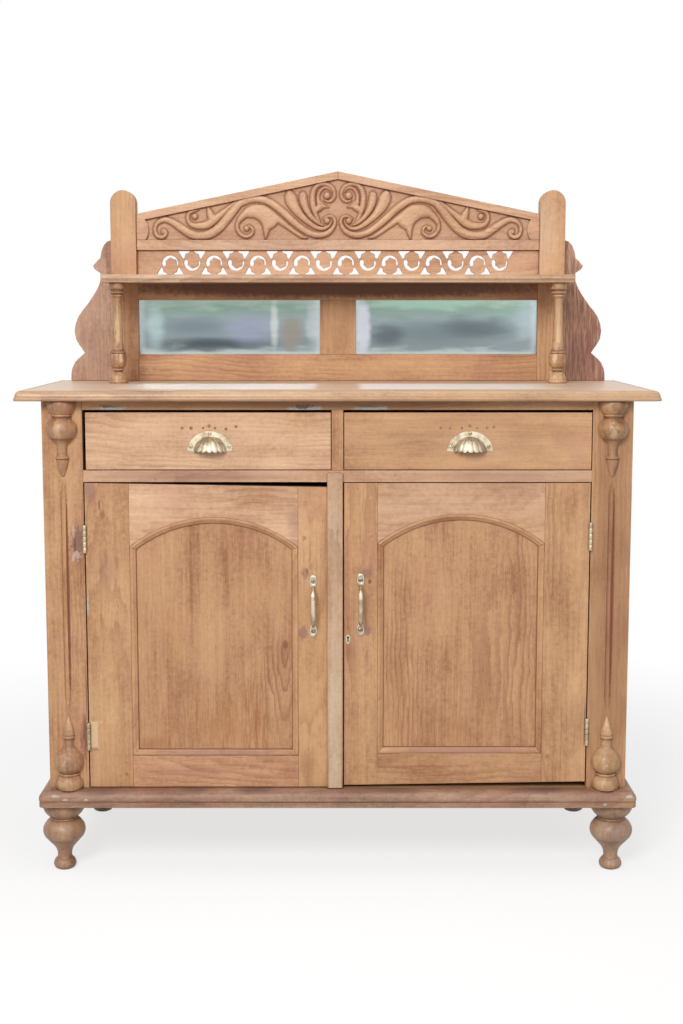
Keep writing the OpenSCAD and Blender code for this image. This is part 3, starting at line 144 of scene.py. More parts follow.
class Graph:
    """The shader nodes of one material or world."""

    def __init__(self, owner: bpy.types.Material | bpy.types.World) -> None:
        """Work on the nodes of a material or a world, from an empty start."""
        self.owner = owner
        owner.use_nodes = True
        self.tree = owner.node_tree
        self.tree.nodes.clear()

    def node(self, kind: str, settings: dict[str, Any] | None = None,
             inputs: dict[int | str, Any] | None = None, output: int | str = 0) -> Value:
        """Add a node.

        Args:
            kind: The node's type.
            settings: Its properties, and "stops" for a ramp's [(place, colour), ...].
            inputs: Values or links for its sockets, by name or number.
            output: Which of its outputs is wanted.

        Returns:
            The wanted output.
        """
        made = self.tree.nodes.new(kind)
        for name, value in (settings or {}).items():
            if name == "stops":
                self._set_stops(made, value)
            else:
                setattr(made, name, value)
        for name, value in (inputs or {}).items():
            if isinstance(value, Value):
                self.tree.links.new(value.socket, made.inputs[name])
            else:
                made.inputs[name].default_value = value
        return Value(self, made.outputs[output] if made.outputs else None)

    @staticmethod
    def _set_stops(made: bpy.types.Node, stops: Sequence[tuple[float, Colour]]) -> None:
        """Give a colour ramp its stops, from low to high."""
        points = made.color_ramp.elements
        while len(points) < len(stops):
            points.new(1.0)
        for point, (place, colour) in zip(points, stops):
            point.position = place
            point.color = colour

    def sibling(self, value: Value, output: int | str) -> Value:
        """Give another output of the node that made a value."""
        return Value(self, value.socket.node.outputs[output])

    def here(self) -> Value:
        """Give the place on the object, in metres."""
        return self.node("ShaderNodeTexCoord", output="Object")

    def along_map(self) -> Value:
        """Give the piece's own map: metres along it, and round it."""
        return self.node("ShaderNodeUVMap", {"uv_map": GRAIN_MAP})

    def seen_from(self, place: Value, centre: Sequence[float], size: Sequence[float]) -> Value:
        """Give a place less a centre, counted in sizes."""
        return self.node("ShaderNodeMapping", {"vector_type": "TEXTURE"},
                         {"Vector": place, "Location": tuple(centre), "Scale": tuple(size)})

    def noise(self, place: Value, detail: float = 2.0, rough: float = 0.5) -> Value:
        """Give soft noise around 0.5, with one wave to each unit of place."""
        return self.node("ShaderNodeTexNoise", {},
                         {"Vector": place, "Scale": 1.0, "Detail": detail, "Roughness": rough})

    def ease(self, value: Part, low: float, high: float) -> Value:
        """Run smoothly from 0 at low to 1 at high."""
        return self.node("ShaderNodeMapRange", {"interpolation_type": "SMOOTHSTEP"},
                         {0: value, 1: low, 2: high, 3: 0.0, 4: 1.0})

    def length(self, vector: Value) -> Value:
        """Give the length of a vector."""
        return self.node("ShaderNodeVectorMath", {"operation": "LENGTH"}, {0: vector}, "Value")

    def split(self, vector: Value) -> tuple[Value, Value, Value]:
        """Give a vector's X, Y and Z."""
        across = self.node("ShaderNodeSeparateXYZ", {}, {0: vector})
        return across, self.sibling(across, 1), self.sibling(across, 2)

    def blend(self, factor: Part, first: Value | Colour, second: Value | Colour) -> Value:
        """Blend two colours by a factor."""
        return self.node("ShaderNodeMix", {"data_type": "RGBA"}, {0: factor, 6: first, 7: second}, 2)

    def ramp(self, value: Value, stops: Sequence[tuple[float, Colour]]) -> Value:
        """Colour a value by stops."""
        return self.node("ShaderNodeValToRGB", {"stops": stops}, {0: value})

    def nearness(self, reach: float) -> Value:
        """Give 0 in the open and up to 1 in corners that other faces hem in within a reach."""
        return 1 - self.node("ShaderNodeAmbientOcclusion", {"samples": 6}, {"Distance": reach}, "AO")

    def bump(self, height: Value, depth: float) -> Value:
        """Give the normal of a surface that a height stirs by a depth in metres."""
        return self.node("ShaderNodeBump", {}, {"Height": height, "Distance": depth, "Strength": 1.0})

    def surface(self, **inputs: Any) -> bpy.types.Material:
        """Close the graph with a Principled shader; words joined by _ name its sockets."""
        named = {name.replace("_", " "): value for name, value in inputs.items()}
        shader = self.node("ShaderNodeBsdfPrincipled", {}, named)
        self.node("ShaderNodeOutputMaterial", {}, {"Surface": shader})
        return self.owner


@dataclass(frozen=True)
class Mark:
    """A stain, repair, worn place, painted light or painted shade, drawn as a ragged oval in X and Z,
    or in X and Y.

    Attributes:
        place: Its middle, across and up (or across and back where it is level).
        reach: Half of its width and height.
        colour: What it turns the surface to.
        strength: How much of that colour shows.
        ragged: How far noise breaks its rim.
        soft: How slowly it fades at its rim.
        square: Whether it is a rectangle instead of an oval.
        level: Whether it lies on a level face.
        veined: Whether fine wavy veins of the wood break its rim, instead of flecks.
    """

    place: tuple[float, float]
    reach: tuple[float, float]
    colour: Colour
    strength: float = 0.7
    ragged: float = 1.2
    soft: float = 0.5
    square: bool = False
    level: bool = False
    veined: bool = False

    def mask(self, graph: Graph, here: Value, fleck: Value) -> Value:
        """Give the mark's cover: 1 well inside its rim and 0 outside it."""
        middle = [self.place[0], 0.0, self.place[1]]
        size = [self.reach[0], 100.0, self.reach[1]]
        if self.level:
            middle[1:] = reversed(middle[1:])
            size[1:] = reversed(size[1:])
        local = graph.seen_from(here, middle, size)
        if self.square:
            across, back, up = graph.split(local)
            away = back.math("MAXIMUM", abs(across), back.math("MAXIMUM", abs(back), abs(up)))
        else:
            away = graph.length(local)
        return graph.ease((1 - away) + (fleck - 0.5) * self.ragged, 0.0, self.soft) * self.strength


class Noises:
    """The noises of one board, drawn out along its fibres.

    Clouds are drawn out a little. Wide and narrow streaks and single fibres are drawn out far, a
    slow noise gathers the dark streaks in groups, and flecks are fine and even.
    """

    def __init__(self, graph: Graph, grain: Grain, shift: Points) -> None:
        """Make the noises round a place of the board's own."""
        mapped = grain is Grain.ALONG_MAP
        self.graph = graph
        self.base = graph.along_map() if mapped else graph.here()
        self.axis = 0 if mapped else grain.value
        self.shift = shift
        self.clouds = self.drawn(0.17, 0.085, 5.0, 0.6)
        self.wide = self.drawn(0.8, 0.028, 3.0)
        self.narrow = self.drawn(0.42, 0.0065, 3.0, 0.55)
        self.fibre = self.drawn(0.04, 0.0012, 2.0, 0.6)
        self.gather = self.drawn(0.3, 0.1)
        self.fleck = self.even(0.009, 4.0, 0.7)

    def drawn(self, along: float, across: float, detail: float = 2.0, rough: float = 0.55) -> Value:
        """Give noise with waves so long along the fibres and so wide across them."""
        size = [across] * 3
        size[self.axis] = along
        return self.graph.noise(self.graph.seen_from(self.base, self.shift, size), detail, rough)

    def even(self, size: float, detail: float, rough: float, away: float = 0.0) -> Value:
        """Give noise with waves of one size, taken at a distance from the board's own place."""
        place = self.graph.seen_from(self.base, self.shift + away, (size,) * 3)
        return self.graph.noise(place, detail, rough)

    def cracks(self) -> Value:
        """Give the cracks: where a long noise crosses its middle, broken by the flecks."""
        split = abs(self.drawn(0.5, 0.03, 4.0, 0.6) - 0.5)
        crack = (1 - self.graph.ease(split, 0.001, 0.007)) * self.graph.ease(self.fleck, 0.5, 0.62)
        return crack * self.graph.ease(self.gather, 0.5, 0.6)

    def dots(self) -> Value:
        """Give the nail holes and specks: the middles of some cells of a cell noise."""
        place = self.graph.seen_from(self.base, self.shift, (0.06,) * 3)
        cell = self.graph.node("ShaderNodeTexVoronoi", {}, {"Vector": place, "Scale": 1.0})
        chosen = self.graph.split(self.graph.sibling(cell, "Color"))[0]
        return (1 - self.graph.ease(cell, 0.011, 0.024)) * self.graph.ease(chosen, 0.6, 0.64)


@dataclass(frozen=True)
class Wood:
    """Stripped wood: clouds, streaks, fibres, growth lines, pores, residue, specks, and painted shade
    in its corners, grooves and upward faces.

    Attributes:
        pale, body, dark: Its three tones.
        cloud: How blotchy it is.
        streak: How strongly dark streaks are drawn along the fibres.
        rings: How strongly the growth lines show.
        ring: Distance between growth lines.
        blush: How much pink residue is left.
        specks: How much the nail holes and dark specks show.
        corner_shade: How dark its corners are.
        rough: Its roughness.
        wax: How much a thin coat of wax shines.
        relief: Height of its fibres.
        fibres: How much the single fibres show.
    """

    pale: Colour
    body: Colour
    dark: Colour
    cloud: float = 1.0
    streak: float = 0.55
    rings: float = 0.3
    ring: float = 0.009
    blush: float = 0.3
    specks: float = 0.6
    # corner_shade: How dark the painted shade in its corners is.
    corner_shade: float = 0.9
    rough: float = 0.55
    wax: float = 0.0
    relief: float = 0.00025
    fibres: float = 0.4

    BLUSH = paint(190, 128, 112)
    GOLD = paint(214, 164, 108)
    # The near black of painted shade in corners and on upward faces.
    PAINTED_SHADE_DARK = paint(44, 25, 16)
    SPECK = paint(74, 44, 32)
    # Growth lines, and also the brown of painted shade in grooves and broad hollows.
    LINE = paint(132, 74, 48)

    def material(self, name: str, grain: Grain, centre: Sequence[float], seed: int,
                 marks: Sequence[Mark] = (), heart: tuple[float, float] | None = None,
                 groove_shade: float = 0.0, shaded_tops: bool = False) -> bpy.types.Material:
        """Build the finish of one board.

        Args:
            name: The material's name.
            grain: The way that the fibres run.
            centre: The board's middle.
            seed: Which board of the tree this is.
            marks: Stains, repairs, and painted light and shade on it.
            heart: Where its growth lines gather, across and up, instead of a drawn place.
            groove_shade: How dark the painted shade in the piece's own grooves is.
            shaded_tops: Whether its upward faces are painted near black, as painted shade in the gaps
                over them.

        Returns:
            The material.
        """
        graph = Graph(bpy.data.materials.new(name))
        draw = np.random.default_rng(seed + 11)
        shift = np.array(centre) + draw.uniform(-0.5, 0.5, 3) * (3.0, 0.3, 3.0)
        noises = Noises(graph, grain, shift)
        middle = np.array(centre) + draw.uniform(-0.06, 0.06, 3)
        middle[1] += 0.05
        middle[noises.axis] += draw.uniform(-0.3, 0.3)
        colour = self.tones(noises)
        colour = self.growth(noises, colour, middle, heart)
        colour = self.marked(noises, colour, marks)
        pore = graph.ease(noises.drawn(0.006, 0.0007, 1.0), 0.62, 0.76)
        dot = noises.dots()
        colour = graph.blend(pore * 0.6, colour, self.dark)
        colour = graph.blend(noises.cracks() * 0.6, colour, self.SPECK)
        colour = graph.blend(dot * self.specks, colour, self.SPECK)
        # Painted shade: grooves, upward faces and corners are darkened.
        colour = self.darken_as_shade(graph, colour, groove_shade, shaded_tops)
        height = noises.fibre * 0.6 + noises.narrow * 0.4 + noises.fleck * 0.5 - pore * 0.3 - dot * 0.6
        return graph.surface(Base_Color=colour, Roughness=self.rough + (noises.fleck - 0.5) * 0.25,
                             Coat_Weight=self.wax, Coat_Roughness=0.2,
                             Normal=graph.bump(height, self.relief))

    def tones(self, noises: Noises) -> Value:
        """Colour the bare wood: its noises are summed into one tone, gold and pink drift over it,
        and groups of narrow streaks go dark."""
        graph = noises.graph
        tone = 0.5 + (noises.clouds - 0.5) * (0.95 * self.cloud) + (noises.wide - 0.5) * 0.5
        tone = tone + (noises.narrow - 0.5) * 0.36
        tone = tone + (noises.fibre - 0.5) * self.fibres + (noises.fleck - 0.5) * 0.5
        colour = graph.ramp(tone, [(0.2, self.dark), (0.5, self.body), (0.8, self.pale)])
        gold = graph.ease(noises.drawn(0.22, 0.12, 3.0), 0.52, 0.75)
        colour = graph.blend(gold * 0.3, colour, self.GOLD)
        pink = graph.ease(noises.even(0.12, 5.0, 0.6, -3.0), 0.5, 0.7)
        colour = graph.blend(pink * self.blush, colour, self.BLUSH)
        dark = graph.ease(noises.narrow, 0.54, 0.74) * graph.ease(noises.gather, 0.46, 0.66)
        return graph.blend(dark * self.streak, colour, self.dark)

    def growth(self, noises: Noises, colour: Value, middle: Points,
               heart: tuple[float, float] | None) -> Value:
        """Draw the growth lines: shells round a point behind the board.

        The distance of a place from the point is counted in rings and bent by noise, and its
        whole part is taken off, so the lines show as nested arches.
        """
        graph = noises.graph
        if heart is not None:
            middle[[0, 2]] = heart
        size = [self.ring] * 3
        size[noises.axis] = self.ring * 7
        turns = graph.length(graph.seen_from(noises.base, middle, size))
        turns = turns + (noises.wide - 0.5) * 2 + (noises.clouds - 0.5) * 3
        part = turns.math("FRACT", turns)
        line = graph.ease(part, 0.35, 0.9) * (1 - graph.ease(part, 0.9, 1.0))
        fade = graph.ease(noises.gather, 0.4, 0.65)
        if heart is not None:
            above = middle - (0.012, 0, 0.10)
            near = graph.length(graph.seen_from(noises.base, above, (0.05, 1.0, 0.12)))
            fade = fade * 0.3 + 1 - graph.ease(near, 0.4, 1.2)
        return graph.blend(line * fade * self.rings, colour, self.LINE)

    @staticmethod
    def marked(noises: Noises, colour: Value, marks: Sequence[Mark]) -> Value:
        """Lay the marks over the wood, in their order."""
        graph = noises.graph
        here = graph.here()
        veined = any(mark.veined for mark in marks)
        vein = noises.drawn(0.045, 0.0036, 4.0, 0.65) if veined else noises.narrow
        for mark in marks:
            broken = vein if mark.veined else noises.fleck
            colour = graph.blend(mark.mask(graph, here, broken), colour, mark.colour)
        return colour

    def darken_as_shade(self, graph: Graph, colour: Value, groove_shade: float, shaded_tops: bool) -> Value:
        """Paint shade: darken the grooves, the upward faces and the corners that other faces hem in."""
        # Painted shade in the grooves, as deep as the piece's groove attribute says.
        if groove_shade:
            groove = graph.node("ShaderNodeAttribute", {"attribute_name": HOLLOW}, output="Fac")
            colour = graph.blend(groove * groove_shade, colour, self.LINE)
        # Painted shade: upward faces go near black, so the gaps over doors and drawers look dark.
        if shaded_tops:
            way = graph.split(graph.node("ShaderNodeNewGeometry", output="Normal"))[2]
            colour = graph.blend(graph.ease(way, 0.6, 0.95) * 0.85, colour, self.PAINTED_SHADE_DARK)
        # Painted shade: corners within 8 mm go near black, and broad hollows within 45 mm go brown.
        corner = graph.ease(graph.nearness(0.008), 0.3, 0.95)
        broad_shade = graph.ease(graph.nearness(0.045), 0.35, 1.0)
        colour = graph.blend(broad_shade * (self.corner_shade * 0.45), colour, self.LINE)
        return graph.blend(corner * self.corner_shade, colour, self.PAINTED_SHADE_DARK)


@dataclass(frozen=True)
class Metal:
    """Old cast or rolled metal: a worn bright tone, a tarnished one, and dirt in its corners."""

    bright: Colour
    dull: Colour
    dirt: Colour
    rough: float
    size: float = 0.006

    def material(self, name: str) -> bpy.types.Material:
        """Build the finish: noise chooses between bright and dull, nearness adds the dirt."""
        graph = Graph(bpy.data.materials.new(name))
        here = graph.here()
        cloud = graph.noise(graph.seen_from(here, (0, 0, 0), (self.size,) * 3), 4.0, 0.6)
        fine = graph.noise(graph.seen_from(here, (1, 2, 3), (0.0012,) * 3), 2.0)
        colour = graph.blend(graph.ease(cloud, 0.4, 0.66), self.bright, self.dull)
        dirt = graph.ease(graph.nearness(0.004), 0.2, 0.9) * 0.75
        colour = graph.blend(dirt, colour, self.dirt)
        rough = self.rough + (cloud - 0.5) * 0.35 + dirt * 0.4
        return graph.surface(Base_Color=colour, Metallic=1 - dirt * 0.8, Roughness=rough,
                             Normal=graph.bump(fine * 0.2 + cloud * 0.6, 0.00004))


@dataclass(frozen=True)
class MirrorWithPaintedReflection:
    """Old silvered glass: a metal that gives back a white world, with a soft, blurred room painted into
    its colour as painted reflection.
    """

    rims: tuple[float, float] = (0.185, 0.208)
    middle: float = 0.2495
    low: float = 1.0705
    high: float = 1.194
    painted_reflections: tuple[Mark, ...] = (
        Mark((-0.29, 1.094), (0.19, 0.020), paint(74, 82, 88), 0.85, 0.9, 0.8),
        Mark((-0.33, 1.135), (0.12, 0.030), paint(112, 126, 134), 0.6, 0.9, 0.8),
        Mark((-0.205, 1.130), (0.075, 0.050), paint(158, 162, 188), 0.6, 0.7, 0.8),
        Mark((-0.106, 1.120), (0.034, 0.060), paint(150, 144, 132), 0.85, 0.7, 0.7),
        Mark((-0.146, 1.14), (0.013, 0.08), paint(206, 210, 208), 0.7, 0.6, 0.8),
        Mark((-0.06, 1.14), (0.020, 0.07), paint(188, 194, 194), 0.7, 0.6, 0.8),
        Mark((-0.42, 1.13), (0.030, 0.07), paint(180, 200, 200), 0.7, 0.6, 0.8),
        Mark((0.24, 1.122), (0.22, 0.042), paint(112, 124, 126), 0.65, 1.0, 0.8),
        Mark((0.115, 1.112), (0.055, 0.036), paint(84, 92, 98), 0.65, 0.9, 0.8),
        Mark((0.32, 1.130), (0.12, 0.034), paint(88, 98, 102), 0.65, 0.9, 0.8),
        Mark((0.21, 1.184), (0.19, 0.020), paint(160, 194, 176), 0.8, 0.8, 0.8),
        Mark((0.058, 1.13), (0.022, 0.09), paint(204, 206, 218), 0.9, 0.5, 0.6),
        Mark((0.435, 1.15), (0.04, 0.07), paint(164, 178, 180), 0.7, 0.8, 0.8))

    def material(self, name: str) -> bpy.types.Material:
        """Build the finish: a painted reflection, as a ramp by height bent by noise, soft patches, pale
        borders and a pale foot, with painted shade where the frame meets the glass.
        """
        graph = Graph(bpy.data.materials.new(name))
        here = graph.here()
        across, _, up = graph.split(here)
        cloud = graph.noise(graph.seen_from(here, (0.3, 0, 0.1), (0.07, 1, 0.016)), 4.0)
        rise = (up - self.low) / (self.high - self.low) + (cloud - 0.5) * 0.5
        # Painted reflection of a blurred room: a ramp by height, then dark and pale patches.
        colour = graph.ramp(rise, [(0.0, paint(176, 186, 186)), (0.14, paint(136, 146, 148)),
                                   (0.4, paint(142, 154, 158)), (0.62, paint(150, 164, 166)),
                                   (0.82, paint(134, 158, 146)), (1.0, paint(160, 176, 164))])
        for patch in self.painted_reflections:
            colour = graph.blend(patch.mask(graph, here, cloud), colour, patch.colour)
        # Painted reflection: pale borders at each mirror's two ends and a pale foot.
        rim = graph.ease(abs(abs(across) - self.middle), *self.rims)
        colour = graph.blend(rim * 0.7, colour, paint(198, 208, 210))
        foot = 1 - graph.ease(up, self.low, self.low + 0.008)
        colour = graph.blend(foot * 0.5, colour, paint(206, 212, 212))
        # Painted shade where the frame meets the glass.
        edge = graph.ease(graph.nearness(0.005), 0.3, 0.95)
        colour = graph.blend(edge * 0.6, colour, paint(90, 86, 78))
        return graph.surface(Base_Color=colour, Metallic=1.0, Roughness=0.2 + (cloud - 0.5) * 0.2)


@dataclass
class Shape:
    """A surface as arrays: its points, its faces as rows of point numbers, and its map."""

    points: Points
    faces: list[Points]
    grain: Points | None = None
    hollow: Points | None = None

    def __add__(self, other: "Shape") -> "Shape":
        """Join two shapes, with the second one's points numbered after the first one's."""
        count = len(self.points)
        grain = None if self.grain is None else np.concatenate([self.grain, other.grain])
        hollow = None if self.hollow is None else np.concatenate([self.hollow, other.hollow])
        return Shape(np.concatenate([self.points, other.points]),
                     self.faces + [rows + count for rows in other.faces], grain, hollow)

    def moved(self, by: Sequence[float]) -> "Shape":
        """Give the shape moved by a distance."""
        return Shape(self.points + np.array(by), self.faces, self.grain, self.hollow)

    def piece(self, name: str, body: str, slot: str, material: bpy.types.Material,
              replaces: Sequence[str] = (), crease: float = 38.0) -> None:
        """Make the shape a piece of the scene.

        Args:
            name: The piece's name.
            body: The body that it rides on.
            slot: Not used.
            material: Its finish.
            replaces: The nodes that it stands for.
            crease: The angle in degrees past which an edge stays sharp.
        """
        mesh = bpy.data.meshes.new(name)
        faces = [face for rows in self.faces for face in rows.tolist()]
        mesh.from_pydata(self.points.tolist(), [], faces)
        if self.grain is not None:
            corners = np.empty(len(mesh.loops), dtype=np.int32)
            mesh.loops.foreach_get("vertex_index", corners)
            layer = mesh.uv_layers.new(name=GRAIN_MAP)
            layer.data.foreach_set("uv", self.grain[corners].astype(np.float32).ravel())
        if self.hollow is not None:
            worn = mesh.attributes.new(HOLLOW, "FLOAT", "POINT")
            worn.data.foreach_set("value", self.hollow.astype(np.float32))
        work = bmesh.new()
        work.from_mesh(mesh)
        bmesh.ops.remove_doubles(work, verts=work.verts, dist=1e-6)
        bmesh.ops.recalc_face_normals(work, faces=work.faces)
        work.to_mesh(mesh)
        work.free()
        mesh.polygons.foreach_set("use_smooth", np.ones(len(mesh.polygons), dtype=bool))
        mesh.set_sharp_from_angle(angle=math.radians(crease))
        made = bpy.data.objects.new(name, mesh)
        bpy.context.scene.collection.objects.link(made)
        mesh.materials.append(material)
        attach(made, body)
        if replaces:
            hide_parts(*replaces)
        log.info("piece %s on %s: %d faces", name, body, len(mesh.polygons))


def grid_faces(rows: int, columns: int, closed: bool = False, first: int = 0) -> Points:
    """Give the four-sided faces of a grid, numbered row by row.

    Args:
        rows: Number of rows of points.
        columns: Number of points in a row.
        closed: Whether the last column joins the first one.
        first: Number of the grid's first point.

    Returns:
        One row of four point numbers for each face.
    """
    low = np.arange(rows - 1)[:, None] * columns
    column = np.arange(columns if closed else columns - 1)[None, :]
    after = (column + 1) % columns
    corners = [low + column, low + after, low + columns + after, low + columns + column]
    return np.stack([c.ravel() for c in np.broadcast_arrays(*corners)], axis=1) + first


def caps(count: int, last: int) -> list[Points]:
    """Give the two faces that close a tube of rings: over its first ring, and over its last one,
    whose first point has the given number."""
    return [np.arange(count)[None, ::-1], np.arange(last, last + count)[None, :]]


def travelled(line: Points) -> Points:
    """Give how far along a line each of its points lies."""
    return np.concatenate([[0], np.cumsum(np.linalg.norm(np.diff(line, axis=0), axis=1))])


def joined(shapes: Sequence[Shape]) -> Shape:
    """Give all the shapes as one."""
    whole = shapes[0]
    for shape in shapes[1:]:
        whole = whole + shape
    return whole


def bar(points: Points, grain: Points, hollow: Points | None = None) -> Shape:
    """Close a moulding: its grid has one row for each point of the section and one column for
    each step along it. The last row joins the first one, and a face closes each end."""
    rows, columns = points.shape[:2]
    column = np.arange(columns - 1)
    last = (rows - 1) * columns
    shut = np.stack([last + column, last + column + 1, column + 1, column], axis=1)
    closed = np.concatenate([grid_faces(rows, columns), shut])
    ends = [np.arange(rows)[None, :] * columns,
            np.arange(rows)[None, ::-1] * columns + columns - 1]
    return Shape(points.reshape(-1, 3), [closed, *ends], grain.reshape(-1, 2),
                 None if hollow is None else hollow.ravel())


def three_sides(x: Points, y: Points, radius: Points | float, back: float, turn: Points,
                run: Points) -> Points:
    """Give a plan from the back left corner round the front to the back right one.

    A side is a straight run, and a corner is a quarter turn on its radius.

    Args:
        x: Half width of each row.
        y: Depth of each row's front.
        radius: Radius of the two front corners.
        back: Depth at which the sides end.
        turn: The corners' angles.
        run: The places along a straight run, from 0 to 1.

    Returns:
        A grid of places across and back, with one row for each row of x.
    """
    side = y + radius
    left = np.stack([-x + 0 * run, back + (side - back) * run], 2)
    left_turn = np.stack([-x + radius - radius * np.cos(turn), side - radius * np.sin(turn)], 2)
    front = np.stack([-x + radius + 2 * (x - radius) * run, y + 0 * run], 2)
    right_turn = np.stack([x - radius + radius * np.sin(turn), side - radius * np.cos(turn)], 2)
    right = np.stack([x + 0 * run, side + (back - side) * run], 2)
    return np.concatenate([left, left_turn, front, right_turn, right], 1)


def arc(start: Points, end: Points, swell: float, steps: int) -> Points:
    """Give the points after the start on the arc to an end.

    The arc's height over its chord is the swell, on the chord's right. Its half angle is twice
    the arctangent of swell over half the chord.
    """
    if swell == 0:
        return end[None, :]
    chord = float(np.linalg.norm(end - start))
    along = (end - start) / chord
    out = np.array([along[1], -along[0]])
    half = 2 * math.atan(2 * swell / chord)
    radius = chord / (2 * math.sin(half))
    turn = -half + 2 * half * np.arange(1, steps + 1)[:, None] / steps
    return (start + end) / 2 + radius * (along * np.sin(turn) + out * (np.cos(turn) - math.cos(half)))


def smooth(keys: Points, steps: int) -> Points:
    """Give a smooth curve through keys: between two keys it is the cubic that leaves each one
    along the line between that key's neighbours."""
    padded = np.concatenate([keys[:1], keys, keys[-1:]])
    t = (np.arange(steps) / steps)[None, :, None]
    a, b, c, d = (padded[i:len(padded) - 3 + i, None, :] for i in range(4))
    curve = 0.5 * (2 * b + (c - a) * t + (2 * a - 5 * b + 4 * c - d) * t ** 2
                   + (3 * b - a - 3 * c + d) * t ** 3)
    return np.concatenate([curve.reshape(-1, keys.shape[1]), keys[-1:]])


def tube(path: Points, wide: Points, thick: Points, sides: int = 24) -> Shape:
    """Carry an oval along a path that lies in a plane of one X, and close its ends.

    A point is the path's point plus X times the half width times the cosine, plus the path's
    normal times the half thickness times the sine.
    """
    along = np.gradient(path, axis=0)
    along /= np.linalg.norm(along, axis=1)[:, None]
    across = np.array([1.0, 0.0, 0.0])
    normal = np.cross(along, across)
    turn = np.linspace(0, 2 * math.pi, sides, endpoint=False)
    ring = (across[None, None, :] * (wide[:, None] * np.cos(turn))[:, :, None]
            + normal[:, None, :] * (thick[:, None] * np.sin(turn))[:, :, None])
    points = (path[:, None, :] + ring).reshape(-1, 3)
    return Shape(points, [grid_faces(len(path), sides, True), *caps(sides, (len(path) - 1) * sides)])


def relief(outline: Points, rows: Sequence[tuple[float, float]], face: float) -> Shape:
    """Raise a low cast or turned form from a face.

    Every row is the outline drawn in towards its middle by a scale, at a height over the face.

    Args:
        outline: Points across and up, round the form.
        rows: Scale and height of each row, from the face outwards.
        face: Depth of the face that it stands on.

    Returns:
        The form, closed at its back and over its middle.
    """
    middle = outline.mean(axis=0)
    scale = np.array([row[0] for row in rows])[:, None, None]
    flat = middle + (outline - middle)[None] * scale
    depth = np.broadcast_to((face - np.array([row[1] for row in rows]))[:, None], flat.shape[:2])
    points = np.stack([flat[..., 0], depth, flat[..., 1]], axis=2).reshape(-1, 3)
    count = len(outline)
    return Shape(points, [grid_faces(len(rows), count, True), *caps(count, (len(rows) - 1) * count)])


def oval(place: Sequence[float], half: Sequence[float], power: float = 2.0, count: int = 32,
         wear: float = 0.0, seed: int = 0) -> Points:
    """Give an oval's outline: across and up are its half sizes times the cosine and the sine,
    each raised to 2 / power, and wear stirs its radius."""
    turn = np.linspace(0, 2 * math.pi, count, endpoint=False)
    wobble = 1 + wear * np.random.default_rng(seed).uniform(-1, 1, count)
    reach = [np.sign(f) * np.abs(f) ** (2 / power) for f in (np.cos(turn), np.sin(turn))]
    return np.stack([place[0] + half[0] * reach[0] * wobble, place[1] + half[1] * reach[1] * wobble], 1)


def thick_sheet(outer: Points, inner: Points) -> Shape:
    """Close a bent sheet: its outer and inner grids, and the strips between their four borders."""
    rows, columns = outer.shape[:2]
    count = rows * columns
    number = np.arange(count).reshape(rows, columns)
    loop = np.concatenate([number[0, :-1], number[:-1, -1], number[-1, :0:-1], number[:0:-1, 0]])
    after = np.roll(loop, -1)
    strip = np.stack([loop, loop + count, after + count, after], axis=1)
    faces = [grid_faces(rows, columns), grid_faces(rows, columns, first=count)[:, ::-1], strip]
    return Shape(np.concatenate([outer.reshape(-1, 3), inner.reshape(-1, 3)]), faces)


BOARD = Wood(paint(221, 174, 128), paint(198, 151, 108), paint(156, 104, 70))
WARM = Wood(paint(229, 179, 138), paint(208, 157, 119), paint(166, 112, 80))
CLEAR = Wood(paint(228, 186, 150), paint(208, 165, 131), paint(172, 126, 94), streak=0.25)
FRESH = Wood(paint(238, 196, 156), paint(216, 173, 137), paint(180, 131, 95), streak=0.22)
CARVED = Wood(paint(226, 186, 148), paint(208, 166, 130), paint(176, 132, 98), streak=0.2,
              cloud=0.8, corner_shade=0.35)
WORN = Wood(paint(208, 170, 130), paint(190, 150, 112), paint(150, 108, 76), streak=0.4,
            blush=0.15, corner_shade=0.8, rough=0.45, wax=0.2, specks=1.0)
HONEY = Wood(paint(216, 168, 122), paint(196, 148, 107), paint(148, 94, 58), cloud=0.75,
             streak=0.6, rings=0.42, blush=0.15)
AMBER = Wood(paint(222, 182, 134), paint(194, 151, 108), paint(136, 94, 66), cloud=1.6, streak=0.4,
             rings=0.3, blush=0.3, corner_shade=1.0, rough=0.45, wax=0.05, fibres=0.3)
FOOT_WOOD = Wood(paint(198, 160, 126), paint(171, 131, 101), paint(116, 84, 64), cloud=1.4,
                 streak=0.3, rings=0.15, blush=0.25, corner_shade=1.0, rough=0.45, wax=0.1, fibres=0.3)
PLUG_WOOD = Wood(paint(186, 142, 108), paint(160, 116, 86), paint(112, 74, 54), cloud=1.6, blush=0.1)
GREYED = Wood(paint(196, 164, 138), paint(166, 129, 104), paint(120, 84, 64), cloud=1.2, streak=0.7,
              blush=0.35, specks=1.0, rough=0.5)
PALE = Wood(paint(222, 194, 164), paint(204, 171, 140), paint(172, 132, 102), streak=0.4,
            blush=0.2, specks=1.0)
RUSSET = Wood(paint(206, 166, 134), paint(186, 146, 118), paint(136, 88, 70), cloud=1.5, streak=0.7,
              blush=0.5, rings=0.48)
RAW = Wood(paint(206, 174, 132), paint(184, 146, 104), paint(140, 104, 70), blush=0.0,
           rings=0.5, ring=0.016, corner_shade=0.6, rough=0.66)
BRASS = Metal(paint(208, 196, 172), paint(166, 150, 124), paint(66, 48, 36), 0.52, 0.02)
HINGE_METAL = Metal(paint(200, 188, 160), paint(170, 154, 124), paint(70, 58, 46), 0.5, 0.06)
STEEL = Metal(paint(150, 146, 140), paint(96, 88, 80), paint(40, 30, 24), 0.42)
IRON = Metal(paint(74, 66, 58), paint(48, 42, 36), paint(26, 20, 16), 0.55)

